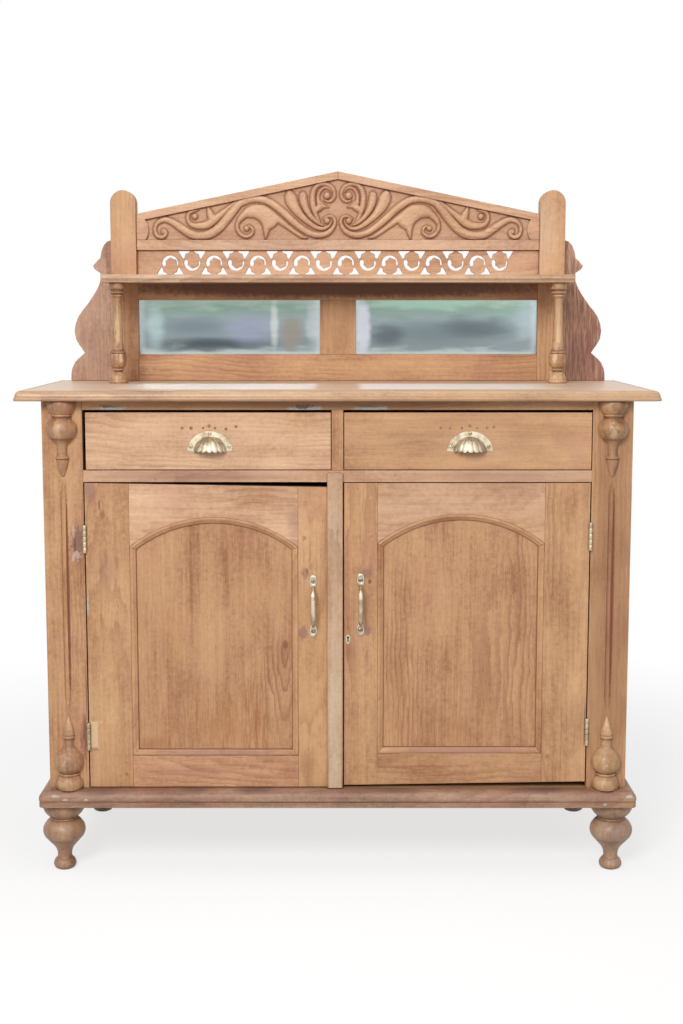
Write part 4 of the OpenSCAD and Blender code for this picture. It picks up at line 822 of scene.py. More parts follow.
PURPLE = paint(150, 108, 98)
DEEP_RED = paint(136, 78, 58)
RUST = paint(158, 96, 54)
DARK_RED = paint(112, 66, 54)
REPAIR = paint(226, 196, 156)
# Dark splinters and tears, and also the deepest painted shadow under the upper shelf.
SPLINTER_AND_SHADE = paint(84, 50, 36)
PLUM = paint(104, 76, 70)
LIME = paint(196, 190, 176)
UMBER = paint(120, 76, 48)
# Pale bleached wood, with the painted light of the worktop's top in it.
BLEACHED_AND_PAINTED_LIGHT = paint(230, 202, 176)
# Painted light: the bright strips that the mirrors throw on the worktop.
PAINTED_MIRROR_LIGHT = paint(255, 249, 242)
BONE = paint(226, 206, 186)
# Painted highlight on turned pieces.
PAINTED_HIGHLIGHT = paint(244, 216, 170)

MARKS: dict[str, tuple[Mark, ...]] = {
    "left_hinge_stile": (
        Mark((-0.505, 0.806), (0.016, 0.034), PURPLE, 0.6, 1.6, 0.7),
        Mark((-0.4865, 0.776), (0.0018, 0.014), SPLINTER_AND_SHADE, 0.8, 0.5),
        Mark((-0.481, 0.757), (0.007, 0.012), DEEP_RED, 0.5, 2.0),
        Mark((-0.5055, 0.295), (0.0078, 0.029), REPAIR, 0.85, 0.25, 0.12, True),
        Mark((-0.505, 0.263), (0.009, 0.004), PURPLE, 0.6, 1.5),
        Mark((-0.5145, 0.568), (0.0045, 0.022), LIME, 0.55),
        Mark((-0.470, 0.640), (0.030, 0.05), PURPLE, 0.3, 2.0, 0.9)),
    "left_top_rail": (
        Mark((-0.086, 0.742), (0.024, 0.06), PURPLE, 0.45, 2.0, 0.9),
        Mark((-0.25, 0.790), (0.16, 0.010), DEEP_RED, 0.2, 3.0, 0.9, veined=True)),
    "left_bottom_rail": (
        Mark((-0.3, 0.215), (0.1, 0.018), PURPLE, 0.25, 2.0, 0.9),
        Mark((-0.1, 0.22), (0.03, 0.02), DEEP_RED, 0.35, 3.0, 0.9, veined=True)),
    "left_lock_stile": (
        Mark((-0.070, 0.510), (0.012, 0.017), PURPLE, 0.75, 2.0),
        Mark((-0.066, 0.636), (0.010, 0.014), PURPLE, 0.65, 2.0),
        Mark((-0.062, 0.640), (0.003, 0.008), SPLINTER_AND_SHADE, 0.6, 1.5),
        Mark((-0.060, 0.23), (0.025, 0.05), DEEP_RED, 0.35, 2.0, 0.9)),
    "right_lock_stile": (
        Mark((0.059, 0.634), (0.015, 0.013), PURPLE, 0.75, 2.0),
        Mark((0.061, 0.515), (0.012, 0.013), PURPLE, 0.75, 2.0),
        Mark((0.066, 0.618), (0.004, 0.006), SPLINTER_AND_SHADE, 0.7, 1.5),
        Mark((0.026, 0.470), (0.016, 0.030), DEEP_RED, 0.35, 2.0, 0.9)),
    "right_hinge_stile": (Mark((0.5135, 0.326), (0.0014, 0.045), SPLINTER_AND_SHADE, 0.8, 0.4),),
    "left_panel": (
        Mark((-0.108, 0.484), (0.007, 0.012), DEEP_RED, 0.85, 0.9),
        Mark((-0.112, 0.47), (0.022, 0.05), DEEP_RED, 0.3, 1.5, 1.0),
        Mark((-0.38, 0.275), (0.04, 0.02), RUST, 0.45, 2.0, 0.9),
        Mark((-0.17, 0.34), (0.03, 0.10), RUST, 0.55, 3.5, 1.2, veined=True),
        Mark((-0.25, 0.31), (0.19, 0.11), RUST, 0.5, 3.5, 1.4, veined=True)),
    "right_panel": (
        Mark((0.13, 0.40), (0.03, 0.16), RUST, 0.4, 3.0, 1.2, veined=True),
        Mark((0.25, 0.31), (0.17, 0.10), RUST, 0.4, 3.5, 1.4, veined=True)),
    "front_uprights": (
        Mark((0.560, 0.58), (0.060, 0.80), UMBER, 0.4, 1.2, 0.8),
        Mark((-0.533, 0.695), (0.020, 0.050), PURPLE, 0.65, 2.6, 0.5),
        Mark((-0.532, 0.700), (0.013, 0.040), DARK_RED, 0.45, 4.0, 0.5),
        Mark((-0.5375, 0.688), (0.0022, 0.026), SPLINTER_AND_SHADE, 0.8, 1.2),
        Mark((-0.529, 0.672), (0.0022, 0.018), SPLINTER_AND_SHADE, 0.7, 1.2),
        Mark((-0.531, 0.672), (0.008, 0.012), BONE, 0.45, 4.0),
        Mark((-0.541, 0.668), (0.004, 0.010), BONE, 0.5, 3.0),
        Mark((-0.540, 0.722), (0.003, 0.016), BONE, 0.4, 3.0),
        Mark((-0.5205, 0.38), (0.0016, 0.065), DEEP_RED, 0.8, 0.6, 0.4),
        Mark((-0.525, 0.285), (0.009, 0.052), DARK_RED, 0.7, 5.0, 0.8, veined=True),
        # Painted shade along the right side of each flute.
        Mark((-0.5535, 0.586), (0.0042, 0.26), DEEP_RED, 0.95, 0.9, 0.35),
        Mark((0.5645, 0.586), (0.0042, 0.26), DEEP_RED, 0.95, 0.9, 0.35),
        Mark((-0.525, 0.29), (0.014, 0.06), DEEP_RED, 0.55, 2.2)),
    "mid_rail": (
        Mark((-0.30, 0.835), (0.24, 0.014), PURPLE, 0.4, 1.8, 0.8),
        Mark((0.33, 0.835), (0.22, 0.014), PURPLE, 0.4, 1.8, 0.8)),
    "top_rail": (
        # Painted shadow of the worktop's overhang along the top of the rail.
        Mark((0.0, 0.985), (0.62, 0.024), UMBER, 0.6, 0.8, 0.8),
        Mark((-0.461, 0.973), (0.040, 0.008), LIME, 0.85, 1.8, 0.5),
        Mark((-0.462, 0.977), (0.026, 0.004), SPLINTER_AND_SHADE, 0.7, 3.0, 0.5),
        Mark((-0.064, 0.973), (0.042, 0.008), LIME, 0.85, 1.8, 0.5),
        Mark((-0.070, 0.977), (0.026, 0.005), SPLINTER_AND_SHADE, 0.8, 3.0, 0.5),
        Mark((0.066, 0.973), (0.045, 0.007), LIME, 0.85, 1.8, 0.5),
        Mark((0.060, 0.977), (0.030, 0.003), SPLINTER_AND_SHADE, 0.6, 3.0, 0.5)),
    # Darker wood with the painted shadow of the upper shelf over it.
    "mirror_rails": (Mark((0.0, 1.222), (0.7, 0.03), UMBER, 0.95, 0.6, 0.6),
                     Mark((0.0, 1.222), (0.7, 0.03), SPLINTER_AND_SHADE, 0.6, 0.8, 0.6)),
    "crest_rails": (Mark((0.0, 1.314), (0.52, 0.020), BONE, 0.18, 0.8, 0.5),),
    "feet": (Mark((0.577, 0.07), (0.07, 0.12), LIME, 0.16, 1.2, 0.8),),
    # Columns: painted highlights as pale streaks, and dark red stains.
    "columns": tuple(mark for side in (-1, 1) for mark in (
        Mark((side * 0.4875, 1.14), (0.012, 0.06), PAINTED_HIGHLIGHT, 0.5, 4.0, 0.8, veined=True),
        Mark((side * 0.4875, 1.055), (0.03, 0.05), DARK_RED, 0.5, 5.0, 0.9),
        Mark((side * 0.4875, 1.215), (0.03, 0.02), DARK_RED, 0.4, 5.0, 0.9),
        Mark((side * 0.479, 1.065), (0.006, 0.016), PAINTED_HIGHLIGHT, 0.6, 3.0, 0.8))),
    # The pale spot is a painted highlight; the umber flecks are stains.
    "upper_half_balusters": tuple(mark for side in (-1, 1) for mark in (
        Mark((side * 0.559 - 0.004, 0.926), (0.012, 0.03), PAINTED_HIGHLIGHT, 0.5, 4.0, 1.0),
        Mark((side * 0.559, 0.885), (0.03, 0.06), UMBER, 0.22, 6.0, 0.7))),
    # The pale spots at the left are painted highlights; the dark red is stains.
    "lower_half_balusters": tuple(mark for side in (-1, 1) for mark in (
        Mark((side * 0.559, 0.25), (0.035, 0.09), DARK_RED, 0.35, 6.0, 1.0),
        Mark((side * 0.559 - 0.008, 0.236), (0.007, 0.022), PAINTED_HIGHLIGHT, 0.4, 4.0, 1.0),
        Mark((side * 0.559 - 0.012, 0.196), (0.012, 0.012), PAINTED_HIGHLIGHT, 0.3, 3.0, 0.8))),
    # Painted shadow of the upper shelf over the uprights' tops; the muntin's middle is a little darker.
    "mirror_uprights": (Mark((0.0, 1.225), (0.7, 0.05), UMBER, 0.8, 0.8, 1.0),
                        Mark((0.0, 1.14), (0.07, 0.09), UMBER, 0.2, 1.2, 0.8)),
    "posts": (Mark((-0.45, 1.33), (0.07, 0.16), PURPLE, 0.14, 1.0, 0.8),
              Mark((0.45, 1.33), (0.07, 0.16), BONE, 0.28, 1.0, 0.8)),
    "right_drawer_front": (Mark((0.27, 0.91), (0.3, 0.09), PURPLE, 0.16, 1.6, 0.9),),
    "wings": (
        Mark((0.55, 1.06), (0.08, 0.09), PURPLE, 0.4, 2.0, 0.9),
        Mark((0.57, 1.11), (0.14, 0.24), DARK_RED, 0.75, 6.0, 1.6, veined=True),
        Mark((0.545, 1.24), (0.05, 0.07), DARK_RED, 0.5, 5.0, 1.0, veined=True),
        Mark((-0.55, 1.12), (0.12, 0.26), BONE, 0.16, 1.5, 1.0),
        Mark((-0.55, 1.05), (0.06, 0.06), PURPLE, 0.18, 2.6, 0.8),
        Mark((-0.56, 1.15), (0.09, 0.16), DEEP_RED, 0.2, 5.0, 1.2, veined=True)),
    "worktop": (
        # The top is bleached, and also drawn paler with painted light that falls on it.
        Mark((0.0, 0.0), (0.637, 0.2375), BLEACHED_AND_PAINTED_LIGHT, 0.68, 0.02, 0.02, True, True),
        # Painted light thrown by the mirrors: a bright strip on the top under each mirror.
        *(Mark((side * (0.038 + half), -0.052), (half, 0.135), PAINTED_MIRROR_LIGHT, 0.46, 0.12, 0.22, True, True)
          for side in (-1, 1) for half in (0.08, 0.11, 0.14, 0.17, 0.2, 0.22)),
        Mark((0.0, 0.989), (0.7, 0.0066), UMBER, 0.35, 0.5, 0.3)),
    "upper_shelf": (Mark((0.0, 1.2305), (0.6, 0.0018), UMBER, 0.6, 0.4),),
    "plinth_moulding": (
        Mark((-0.17, 0.1815), (0.06, 0.009), PLUM, 0.75, 1.6, 0.8),
        Mark((-0.30, 0.1815), (0.04, 0.006), PLUM, 0.6, 1.6, 0.8),
        Mark((0.10, 0.1815), (0.10, 0.007), PLUM, 0.6, 1.8, 0.8),
        Mark((0.42, 0.1815), (0.08, 0.008), PLUM, 0.65, 1.8, 0.8),
        Mark((-0.50, 0.1815), (0.06, 0.012), PLUM, 0.5, 1.8, 0.8),
        Mark((0.0, 0.159), (0.7, 0.0012), PLUM, 0.7, 0.3),
        Mark((-0.5645, 0.165), (0.009, 0.003), LIME, 0.9, 1.6),
        Mark((-0.585, 0.172), (0.010, 0.003), LIME, 0.7, 2.2),
        Mark((-0.521, 0.165), (0.005, 0.003), LIME, 0.9, 1.4),
        Mark((0.604, 0.171), (0.009, 0.004), LIME, 0.9, 1.4),
        Mark((0.554, 0.155), (0.006, 0.003), LIME, 0.9, 1.4)),
}

HEARTS: dict[str, tuple[float, float]] = {"left_panel": (-0.108, 0.50)}


@dataclass
class Boards:
    """The boards that keep their solids: which finish each has, and how worn its edges are."""

    wear: float = 0.0009
    finishes: dict[str, tuple[Wood, Grain]] = field(default_factory=lambda: {
        "side_panels": (BOARD, Grain.UPRIGHT),
        "front_uprights": (BOARD, Grain.UPRIGHT),
        "top_rail": (BOARD, Grain.ACROSS),
        "drawer_divider": (BOARD, Grain.UPRIGHT),
        "mid_rail": (CLEAR, Grain.ACROSS),
        "cupboard_floor": (RAW, Grain.ACROSS),
        "base_rails": (RAW, Grain.ACROSS),
        "drawer_runners": (RAW, Grain.DEEP),
        "back_boards": (RAW, Grain.UPRIGHT),
        "inner_shelf": (RAW, Grain.ACROSS),
        "shelf_battens": (RAW, Grain.DEEP),
        "mirror_rails": (BOARD, Grain.ACROSS),
        "mirror_uprights": (BOARD, Grain.UPRIGHT),
        "mirror_backing": (RAW, Grain.ACROSS),
        "upper_shelf": (PALE, Grain.ACROSS),
        "posts": (BOARD, Grain.UPRIGHT),
        "fret_gallery": (CLEAR, Grain.ACROSS),
        "crest_board": (CLEAR, Grain.ACROSS),
        "crest_rails": (CLEAR, Grain.ACROSS),
        "wings": (RUSSET, Grain.UPRIGHT),
        "left_hinge_stile": (BOARD, Grain.UPRIGHT),
        "left_lock_stile": (BOARD, Grain.UPRIGHT),
        "left_top_rail": (FRESH, Grain.ACROSS),
        "left_bottom_rail": (WARM, Grain.ACROSS),
        "left_panel": (HONEY, Grain.UPRIGHT),
        "meeting_strip": (PALE, Grain.UPRIGHT),
        "right_hinge_stile": (BOARD, Grain.UPRIGHT),
        "right_lock_stile": (BOARD, Grain.UPRIGHT),
        "right_top_rail": (CLEAR, Grain.ACROSS),
        "right_bottom_rail": (BOARD, Grain.ACROSS),
        "right_panel": (HONEY, Grain.UPRIGHT),
        "left_drawer_front": (FRESH, Grain.ACROSS),
        "left_drawer_sides": (RAW, Grain.DEEP),
        "left_drawer_back": (RAW, Grain.ACROSS),
        "left_drawer_bottom": (RAW, Grain.ACROSS),
        "right_drawer_front": (BOARD, Grain.ACROSS),
        "right_drawer_sides": (RAW, Grain.DEEP),
        "right_drawer_back": (RAW, Grain.ACROSS),
        "right_drawer_bottom": (RAW, Grain.ACROSS)})

    def dress(self) -> None:
        """Give every board its finish and its softened edges."""
        for seed, (node, (wood, grain)) in enumerate(self.finishes.items()):
            low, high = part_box(node)
            centre = tuple((low + high) / 2)
            # Door and drawer parts get painted shade on their upward faces.
            finish = wood.material("wood_" + node, grain, centre, seed, MARKS.get(node, ()),
                                   HEARTS.get(node),
                                   shaded_tops=node.startswith(("left_", "right_")))
            dress_node(node, finish)
            soften(node, self.wear)
            log.info("board %s", node)


def dress_node(node: str, finish: bpy.types.Material) -> None:
    """Give a carried-over node one finish all over."""
    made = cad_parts[node]
    if not made.material_slots:
        made.data.materials.append(finish)
    for slot in made.material_slots:
        slot.link = "OBJECT"
        slot.material = finish


def soften(node: str, wear: float) -> None:
    """Round a node's edges: join its loose triangles, merge flat faces, then bevel."""
    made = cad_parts[node]
    weld = made.modifiers.new("weld", "WELD")
    weld.merge_threshold = 1e-5
    flat = made.modifiers.new("flat", "DECIMATE")
    flat.decimate_type = "DISSOLVE"
    flat.angle_limit = math.radians(0.6)
    round_off = made.modifiers.new("round_off", "BEVEL")
    round_off.width = wear
    round_off.segments = 2
    round_off.limit_method = "ANGLE"
    round_off.angle_limit = math.radians(35)
    round_off.harden_normals = True
    round_off.use_clamp_overlap = False


@dataclass
class Turnings:
    """Feet, columns and split balusters, turned from their outlines.

    An outline's row is a height, a radius and the swell of the arc that leads there, in
    millimetres. A turning's points are its radius times the cosine and the sine of the turn,
    and a slow wave stirs the radius, as hand turning and wear do. A place is that of the
    turning at the right, across and back, and its twin stands at the left.
    """

    sides: int = 96
    wave: float = 0.006
    front_feet: tuple[float, float] = (0.577, -0.190)
    back_feet: tuple[float, float] = (0.555, 0.195)
    balusters: tuple[float, float] = (0.559, FRONT)
    columns: tuple[float, float] = (0.4875, 0.105)
    foot: tuple = ((0, 0, 0), (0, 15.5, 0), (1.5, 17.5, 0.4), (4, 21.5, 0.8), (16, 22.5, 1.8),
                   (22.6, 17.8, 0.8), (23.4, 16.8, 0), (30, 14.8, -0.4), (42, 17.2, -0.6),
                   (52, 23.6, -0.5), (68, 38, 0), (99, 39.5, 5.6), (107.4, 31.6, 0.5),
                   (108.2, 29.0, 0), (109.2, 28.4, 0), (110.2, 29.6, 0.2), (111.4, 29.6, 0.2),
                   (112.4, 28.4, 0), (113.4, 28.8, 0), (115, 30.5, 0), (131, 43, 1.5),
                   (147, 43, 0.8), (147, 0, 0))
    upper: tuple = ((0, 0, 0), (1, 3.5, 0.5), (34.2, 12.8, 1.2), (35, 11.6, 0), (36.2, 11.6, 0),
                    (36.9, 13.3, 0.2), (40.3, 13.3, 0.7), (41, 12.2, 0), (43.5, 10.9, -0.2),
                    (49, 9.6, -0.5), (60, 10.3, -0.2), (68, 12.8, -0.6), (77.3, 22.4, 0),
                    (96, 31.6, 1.8), (113.8, 23, 2.3), (117.6, 18.9, 0), (118.2, 19.3, 0.2),
                    (119, 17.8, 0), (122.5, 17.8, 0), (123, 19.6, 0), (123.4, 20.3, 0.2),
                    (126.6, 20.6, 0.5), (127.2, 20, 0), (140, 28.4, 0.8), (154.5, 28, 1.2),
                    (154.5, 0, 0))
    lower: tuple = ((0, 0, 0), (0, 26.5, 0), (10, 28.4, 0.8), (26.2, 21.2, 1.8), (26.8, 20.2, 0),
                    (27.6, 19.4, 0), (28.4, 19.4, 0), (28.9, 20.4, 0.1), (33, 20.4, 0.7),
                    (33.6, 19, 0), (35, 19.4, 0), (56, 30, 3.1), (73, 25, 1.2), (84.5, 14, 0.3),
                    (92, 10.9, -0.6), (106.3, 10.3, -0.2), (107, 12.4, 0.3), (111.6, 12.9, 0.6),
                    (112.4, 11.8, 0), (113.2, 12.3, 0), (120, 12.4, 0.5), (153.5, 0, 1.3))
    column: tuple = ((0, 0, 0), (0, 19.9, 0), (1, 20.5, 0.2), (6, 20.5, 0.3), (7, 19.9, 0),
                     (16, 18.0, 0.8), (24.3, 12.4, 0.8), (24.9, 10.4, 0), (27.5, 10.4, 0),
                     (28.2, 12.6, 0.1), (32.6, 12.6, 0.9), (33.2, 11.2, 0), (34.2, 12.8, 0),
                     (46, 18.4, 1.6), (62, 18.4, 0.5), (65, 17.4, 0.2), (65.6, 16.1, 0),
                     (66.4, 16.1, 0), (67, 17.6, 0.1), (69.6, 17.6, 0.6), (70.4, 15.4, 0),
                     (84, 12.8, -0.7), (100, 11, -0.2), (186, 9.6, 0), (190, 10.6, -0.3),
                     (190.8, 12, 0.1), (194.8, 12, 0.7), (195.8, 10.8, 0), (197.8, 15.7, 0.2),
                     (201.6, 15.9, 0.9), (202.4, 14.2, 0), (205.4, 14.2, 0), (206.2, 17.2, 0.2),
                     (214, 17.6, 1), (221, 17, 0.3), (221, 0, 0))

    @staticmethod
    def outline(keys: tuple) -> Points:
        """Give an outline's radii and heights in metres, with its arcs in ten steps."""
        rows = np.array(keys, dtype=float) * MM
        ends = rows[:, 1::-1]
        parts = [ends[:1]] + [arc(ends[i - 1], ends[i], rows[i, 2], 10) for i in range(1, len(rows))]
        return np.concatenate(parts)

    @staticmethod
    def grooves(line: Points) -> Points:
        """Give how deep each point of an outline lies in a groove: how far its radius falls short
        of the mean radius near its height, counted in a groove's depth."""
        radius, height = line.T
        near = np.exp(-((height[:, None] - height[None, :]) / 0.0035) ** 2)
        mean = (near * radius).sum(axis=1) / near.sum(axis=1)
        return np.clip((mean - radius) / 0.0014, 0, 1)

    def turned(self, keys: tuple, half: bool, seed: int) -> Shape:
        """Turn an outline.

        Args:
            keys: The outline.
            half: Whether only the front half is made, with a flat back.
            seed: Which turning this is.

        Returns:
            The closed turning, standing on the origin.
        """
        line = self.outline(keys)
        draw = np.random.default_rng(seed)
        turn = (np.linspace(math.pi, 2 * math.pi, self.sides // 2 + 1) if half
                else np.linspace(0, 2 * math.pi, self.sides, endpoint=False))
        radius, height = line[:, 0][:, None], line[:, 1][:, None]
        wave = sum(np.sin(k * turn + height * draw.uniform(-60, 60) + draw.uniform(0, 6)) / k
                   for k in (2, 3, 5))
        radius = radius * (1 + self.wave * wave)
        points = np.stack([radius * np.cos(turn), radius * np.sin(turn),
                           np.broadcast_to(height, radius.shape)], axis=2)
        hollow = np.broadcast_to(self.grooves(line)[:, None], points.shape[:2])
        return Shape(points.reshape(-1, 3), [grid_faces(len(line), len(turn), True)], None,
                     hollow.ravel())

    def build(self) -> None:
        """Make the turned pieces where their nodes stand."""
        self.stand("feet", self.foot, (self.front_feet, self.back_feet), False, FOOT_WOOD)
        self.stand("upper_half_balusters", self.upper, (self.balusters,), True, AMBER)
        self.stand("lower_half_balusters", self.lower, (self.balusters,), True, AMBER)
        self.stand("columns", self.column, (self.columns,), False, AMBER)

    def stand(self, node: str, keys: tuple, places: Sequence[tuple[float, float]], half: bool,
              wood: Wood) -> None:
        """Stand a turning at each place and at its twin on the left, as one piece that replaces
        a node."""
        low = span(node)[0][2]
        spots = [(side * x, y, low) for x, y in places for side in (-1, 1)]
        whole = joined([self.turned(keys, half, seed + len(keys)).moved(spot)
                        for seed, spot in enumerate(spots)])
        # The turnings' grooves get painted shade, by how deep they lie.
        finish = wood.material("turned_" + node, Grain.UPRIGHT, (0.0, -0.1, low), len(keys),
                               MARKS.get(node, ()), groove_shade=0.85)
        whole.piece("turned_" + node, "cabinet", "turned_wood", finish, [node], 30.0)


@dataclass
class Worktop:
    """The worktop: a board with a moulded and worn edge at its front and its two ends.

    Attributes:
        corner: Radius of its two front corners.
        step: Height of the small step in its edge.
        nose: How far the round over the step leans back.
        wear: How far its worn places draw it in, as a share of its size.
        steps: Places along each straight run.
        seed: Which board of the tree it is.
    """

    corner: float = 0.006
    step: float = 0.0074
    nose: float = 0.0106
    wear: float = 0.0006
    steps: int = 90
    seed: int = 91

    def rims(self, thick: float) -> Points:
        """Give the edge from below to above as [how far in, height]: an upright lip, a small
        step and a soft quarter round over it, up to the board's thickness."""
        lip = [(0.004, 0.0), (0.0006, 0.0006), (0.0, 0.0018), (0.0, 0.0056), (0.0006, 0.0066),
               (0.0018, 0.0070)]
        turn = np.linspace(0.0, math.pi / 2, 12)
        inwards = lip[-1][0] + self.nose * (1 - np.cos(turn))
        upwards = self.step + (thick - self.step) * np.sin(turn)
        return np.concatenate([lip, np.stack([inwards, upwards], 1)])

    def build(self) -> None:
        """Draw the plan once for each row of the edge, from the back left corner round."""
        low, high = span("worktop")
        rims = self.rims(high[2] - low[2])
        inset = rims[:, 0][:, None]
        draw = np.random.default_rng(7)
        turn = np.linspace(0, math.pi / 2, 7)[None, :]
        run = np.linspace(0, 1, self.steps)[None, :]
        plan = three_sides(high[0] - inset, low[1] + inset, self.corner, high[1], turn, run)
        steps = plan.shape[1]
        phase = np.linspace(0, 2 * math.pi, steps)
        worn = sum(np.sin(k * phase + draw.uniform(0, 6)) / k for k in (3, 7, 16, 31, 57))
        plan = plan * (1 - self.wear * (np.clip(worn, 0, 1))[None, :, None])
        plan[..., 1] = np.minimum(plan[..., 1], high[1])
        up = np.broadcast_to(low[2] + rims[:, 1][:, None], plan.shape[:2])
        points = np.concatenate([plan, up[..., None]], 2).reshape(-1, 3)
        shape = Shape(points, [grid_faces(len(rims), steps, True),
                               *caps(steps, (len(rims) - 1) * steps)])
        finish = WORN.material("wood_worktop", Grain.ACROSS, (0, 0, 1.0), self.seed, MARKS["worktop"])
        shape.piece("moulded_worktop", "cabinet", "stripped_wood", finish, ["worktop"], 50.0)


@dataclass
class Back:
    """The back's upright boards, lapped so that no light comes through their joints.

    Half of each one's thickness runs on behind its neighbour, which is cut back to take it. They
    take the finish that their node was given with the other boards.
    """

    count: int = 6
    gap: float = 0.001
    lap: float = 0.006
    play: float = 0.0002
    ease: float = 0.0008

    def section(self, left: float, right: float, front: float, back: float, ends: tuple) -> Points:
        """Give one board's section, as points across and back, from its front left corner round."""
        middle = (front + back) / 2
        cut = 0.0 if ends[0] else self.lap
        tongue = 0.0 if ends[1] else self.lap - self.gap
        return np.array([(left, front + self.ease), (left + self.ease, front),
                         (right - self.ease, front), (right, front + self.ease), (right, middle),
                         (right + tongue, middle), (right + tongue, back), (left + cut, back),
                         (left + cut, middle - self.play), (left, middle - self.play)])

    def build(self) -> None:
        """Carry each board's section up from the floor board to the worktop."""
        low, high = (np.array(corner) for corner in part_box("back_boards"))
        width = (high[0] - low[0]) / self.count
        boards = []
        for number in range(self.count):
            ends = (number == 0, number == self.count - 1)
            left = low[0] + number * width + (0.0 if ends[0] else self.gap / 2)
            right = low[0] + (number + 1) * width - (0.0 if ends[1] else self.gap / 2)
            flat = self.section(left, right, low[1], high[1], ends)
            up = np.array([low[2], high[2]])[:, None]
            rows = np.stack([flat[:, 0] + 0 * up, flat[:, 1] + 0 * up, up + 0 * flat[:, 0]], 2)
            count = len(flat)
            boards.append(Shape(rows.reshape(-1, 3), [grid_faces(2, count, True), *caps(count, count)]))
        finish = bpy.data.materials["wood_back_boards"]
        joined(boards).piece("lapped_back", "cabinet", "raw_wood", finish, ["back_boards"], 30.0)


@dataclass
class Plinth:
    """The plinth moulding: one section carried round the front, both worn corners and the sides."""

    corner: float = 0.011
    nose: float = 0.017
    outer_row: int = 4
    seed: int = 92

    def section(self, tall: float) -> Points:
        """Give the section as [how far in from its outer line, height], from its lower inner
        corner outwards and up; a row past the inner line is put on it."""
        band = [(1.0, 0.0), (0.0022, 0.0), (0.0010, 0.0010), (0.0010, 0.0108), (0.0022, 0.0120),
                (0.0014, 0.0132), (0.0, 0.0146), (0.0, 0.0165)]
        rise = tall - band[-1][1]
        turn = np.linspace(0.12, math.pi / 2, 12)
        nose = np.stack([self.nose * (1 - np.cos(turn)), band[-1][1] + rise * np.sin(turn)], 1)
        return np.concatenate([band, nose, [(1.0, tall)]])

    def build(self) -> None:
        """Carry the section along the path: a row lies as far inside the outer line as its
        point, and turns the corners on the corner's radius less that distance."""
        low, high = span("plinth_moulding")
        side = span("front_uprights")[1][0]
        rows = self.section(high[2] - low[2])
        out_side = np.maximum(high[0] - side - rows[:, :1], 0.0)
        out_front = np.maximum(FRONT - low[1] - rows[:, :1], 0.0)
        run = np.linspace(0, 1, 60)[None, :]
        turn = np.linspace(0, math.pi / 2, 9)[None, 1:-1]
        radius = np.maximum(self.corner - rows[:, :1], 0.0003)
        plan = three_sides(side + out_side, FRONT - out_front, radius, high[1], turn, run)
        up = np.broadcast_to(low[2] + rows[:, 1][:, None], plan.shape[:2])
        points = np.concatenate([plan, up[..., None]], 2)
        round_it = np.concatenate([[0.0], travelled(rows[1:-1]), [0.06]])[:, None]
        grain = np.stack([np.broadcast_to(travelled(plan[self.outer_row]), plan.shape[:2]),
                          np.broadcast_to(round_it, plan.shape[:2])], 2)
        finish = GREYED.material("wood_plinth", Grain.ALONG_MAP, (0, 0, 0), self.seed,
                                 MARKS["plinth_moulding"])
        bar(points, grain).piece("moulded_plinth", "cabinet", "plinth_wood", finish,
                                 ["plinth_moulding"], 32.0)


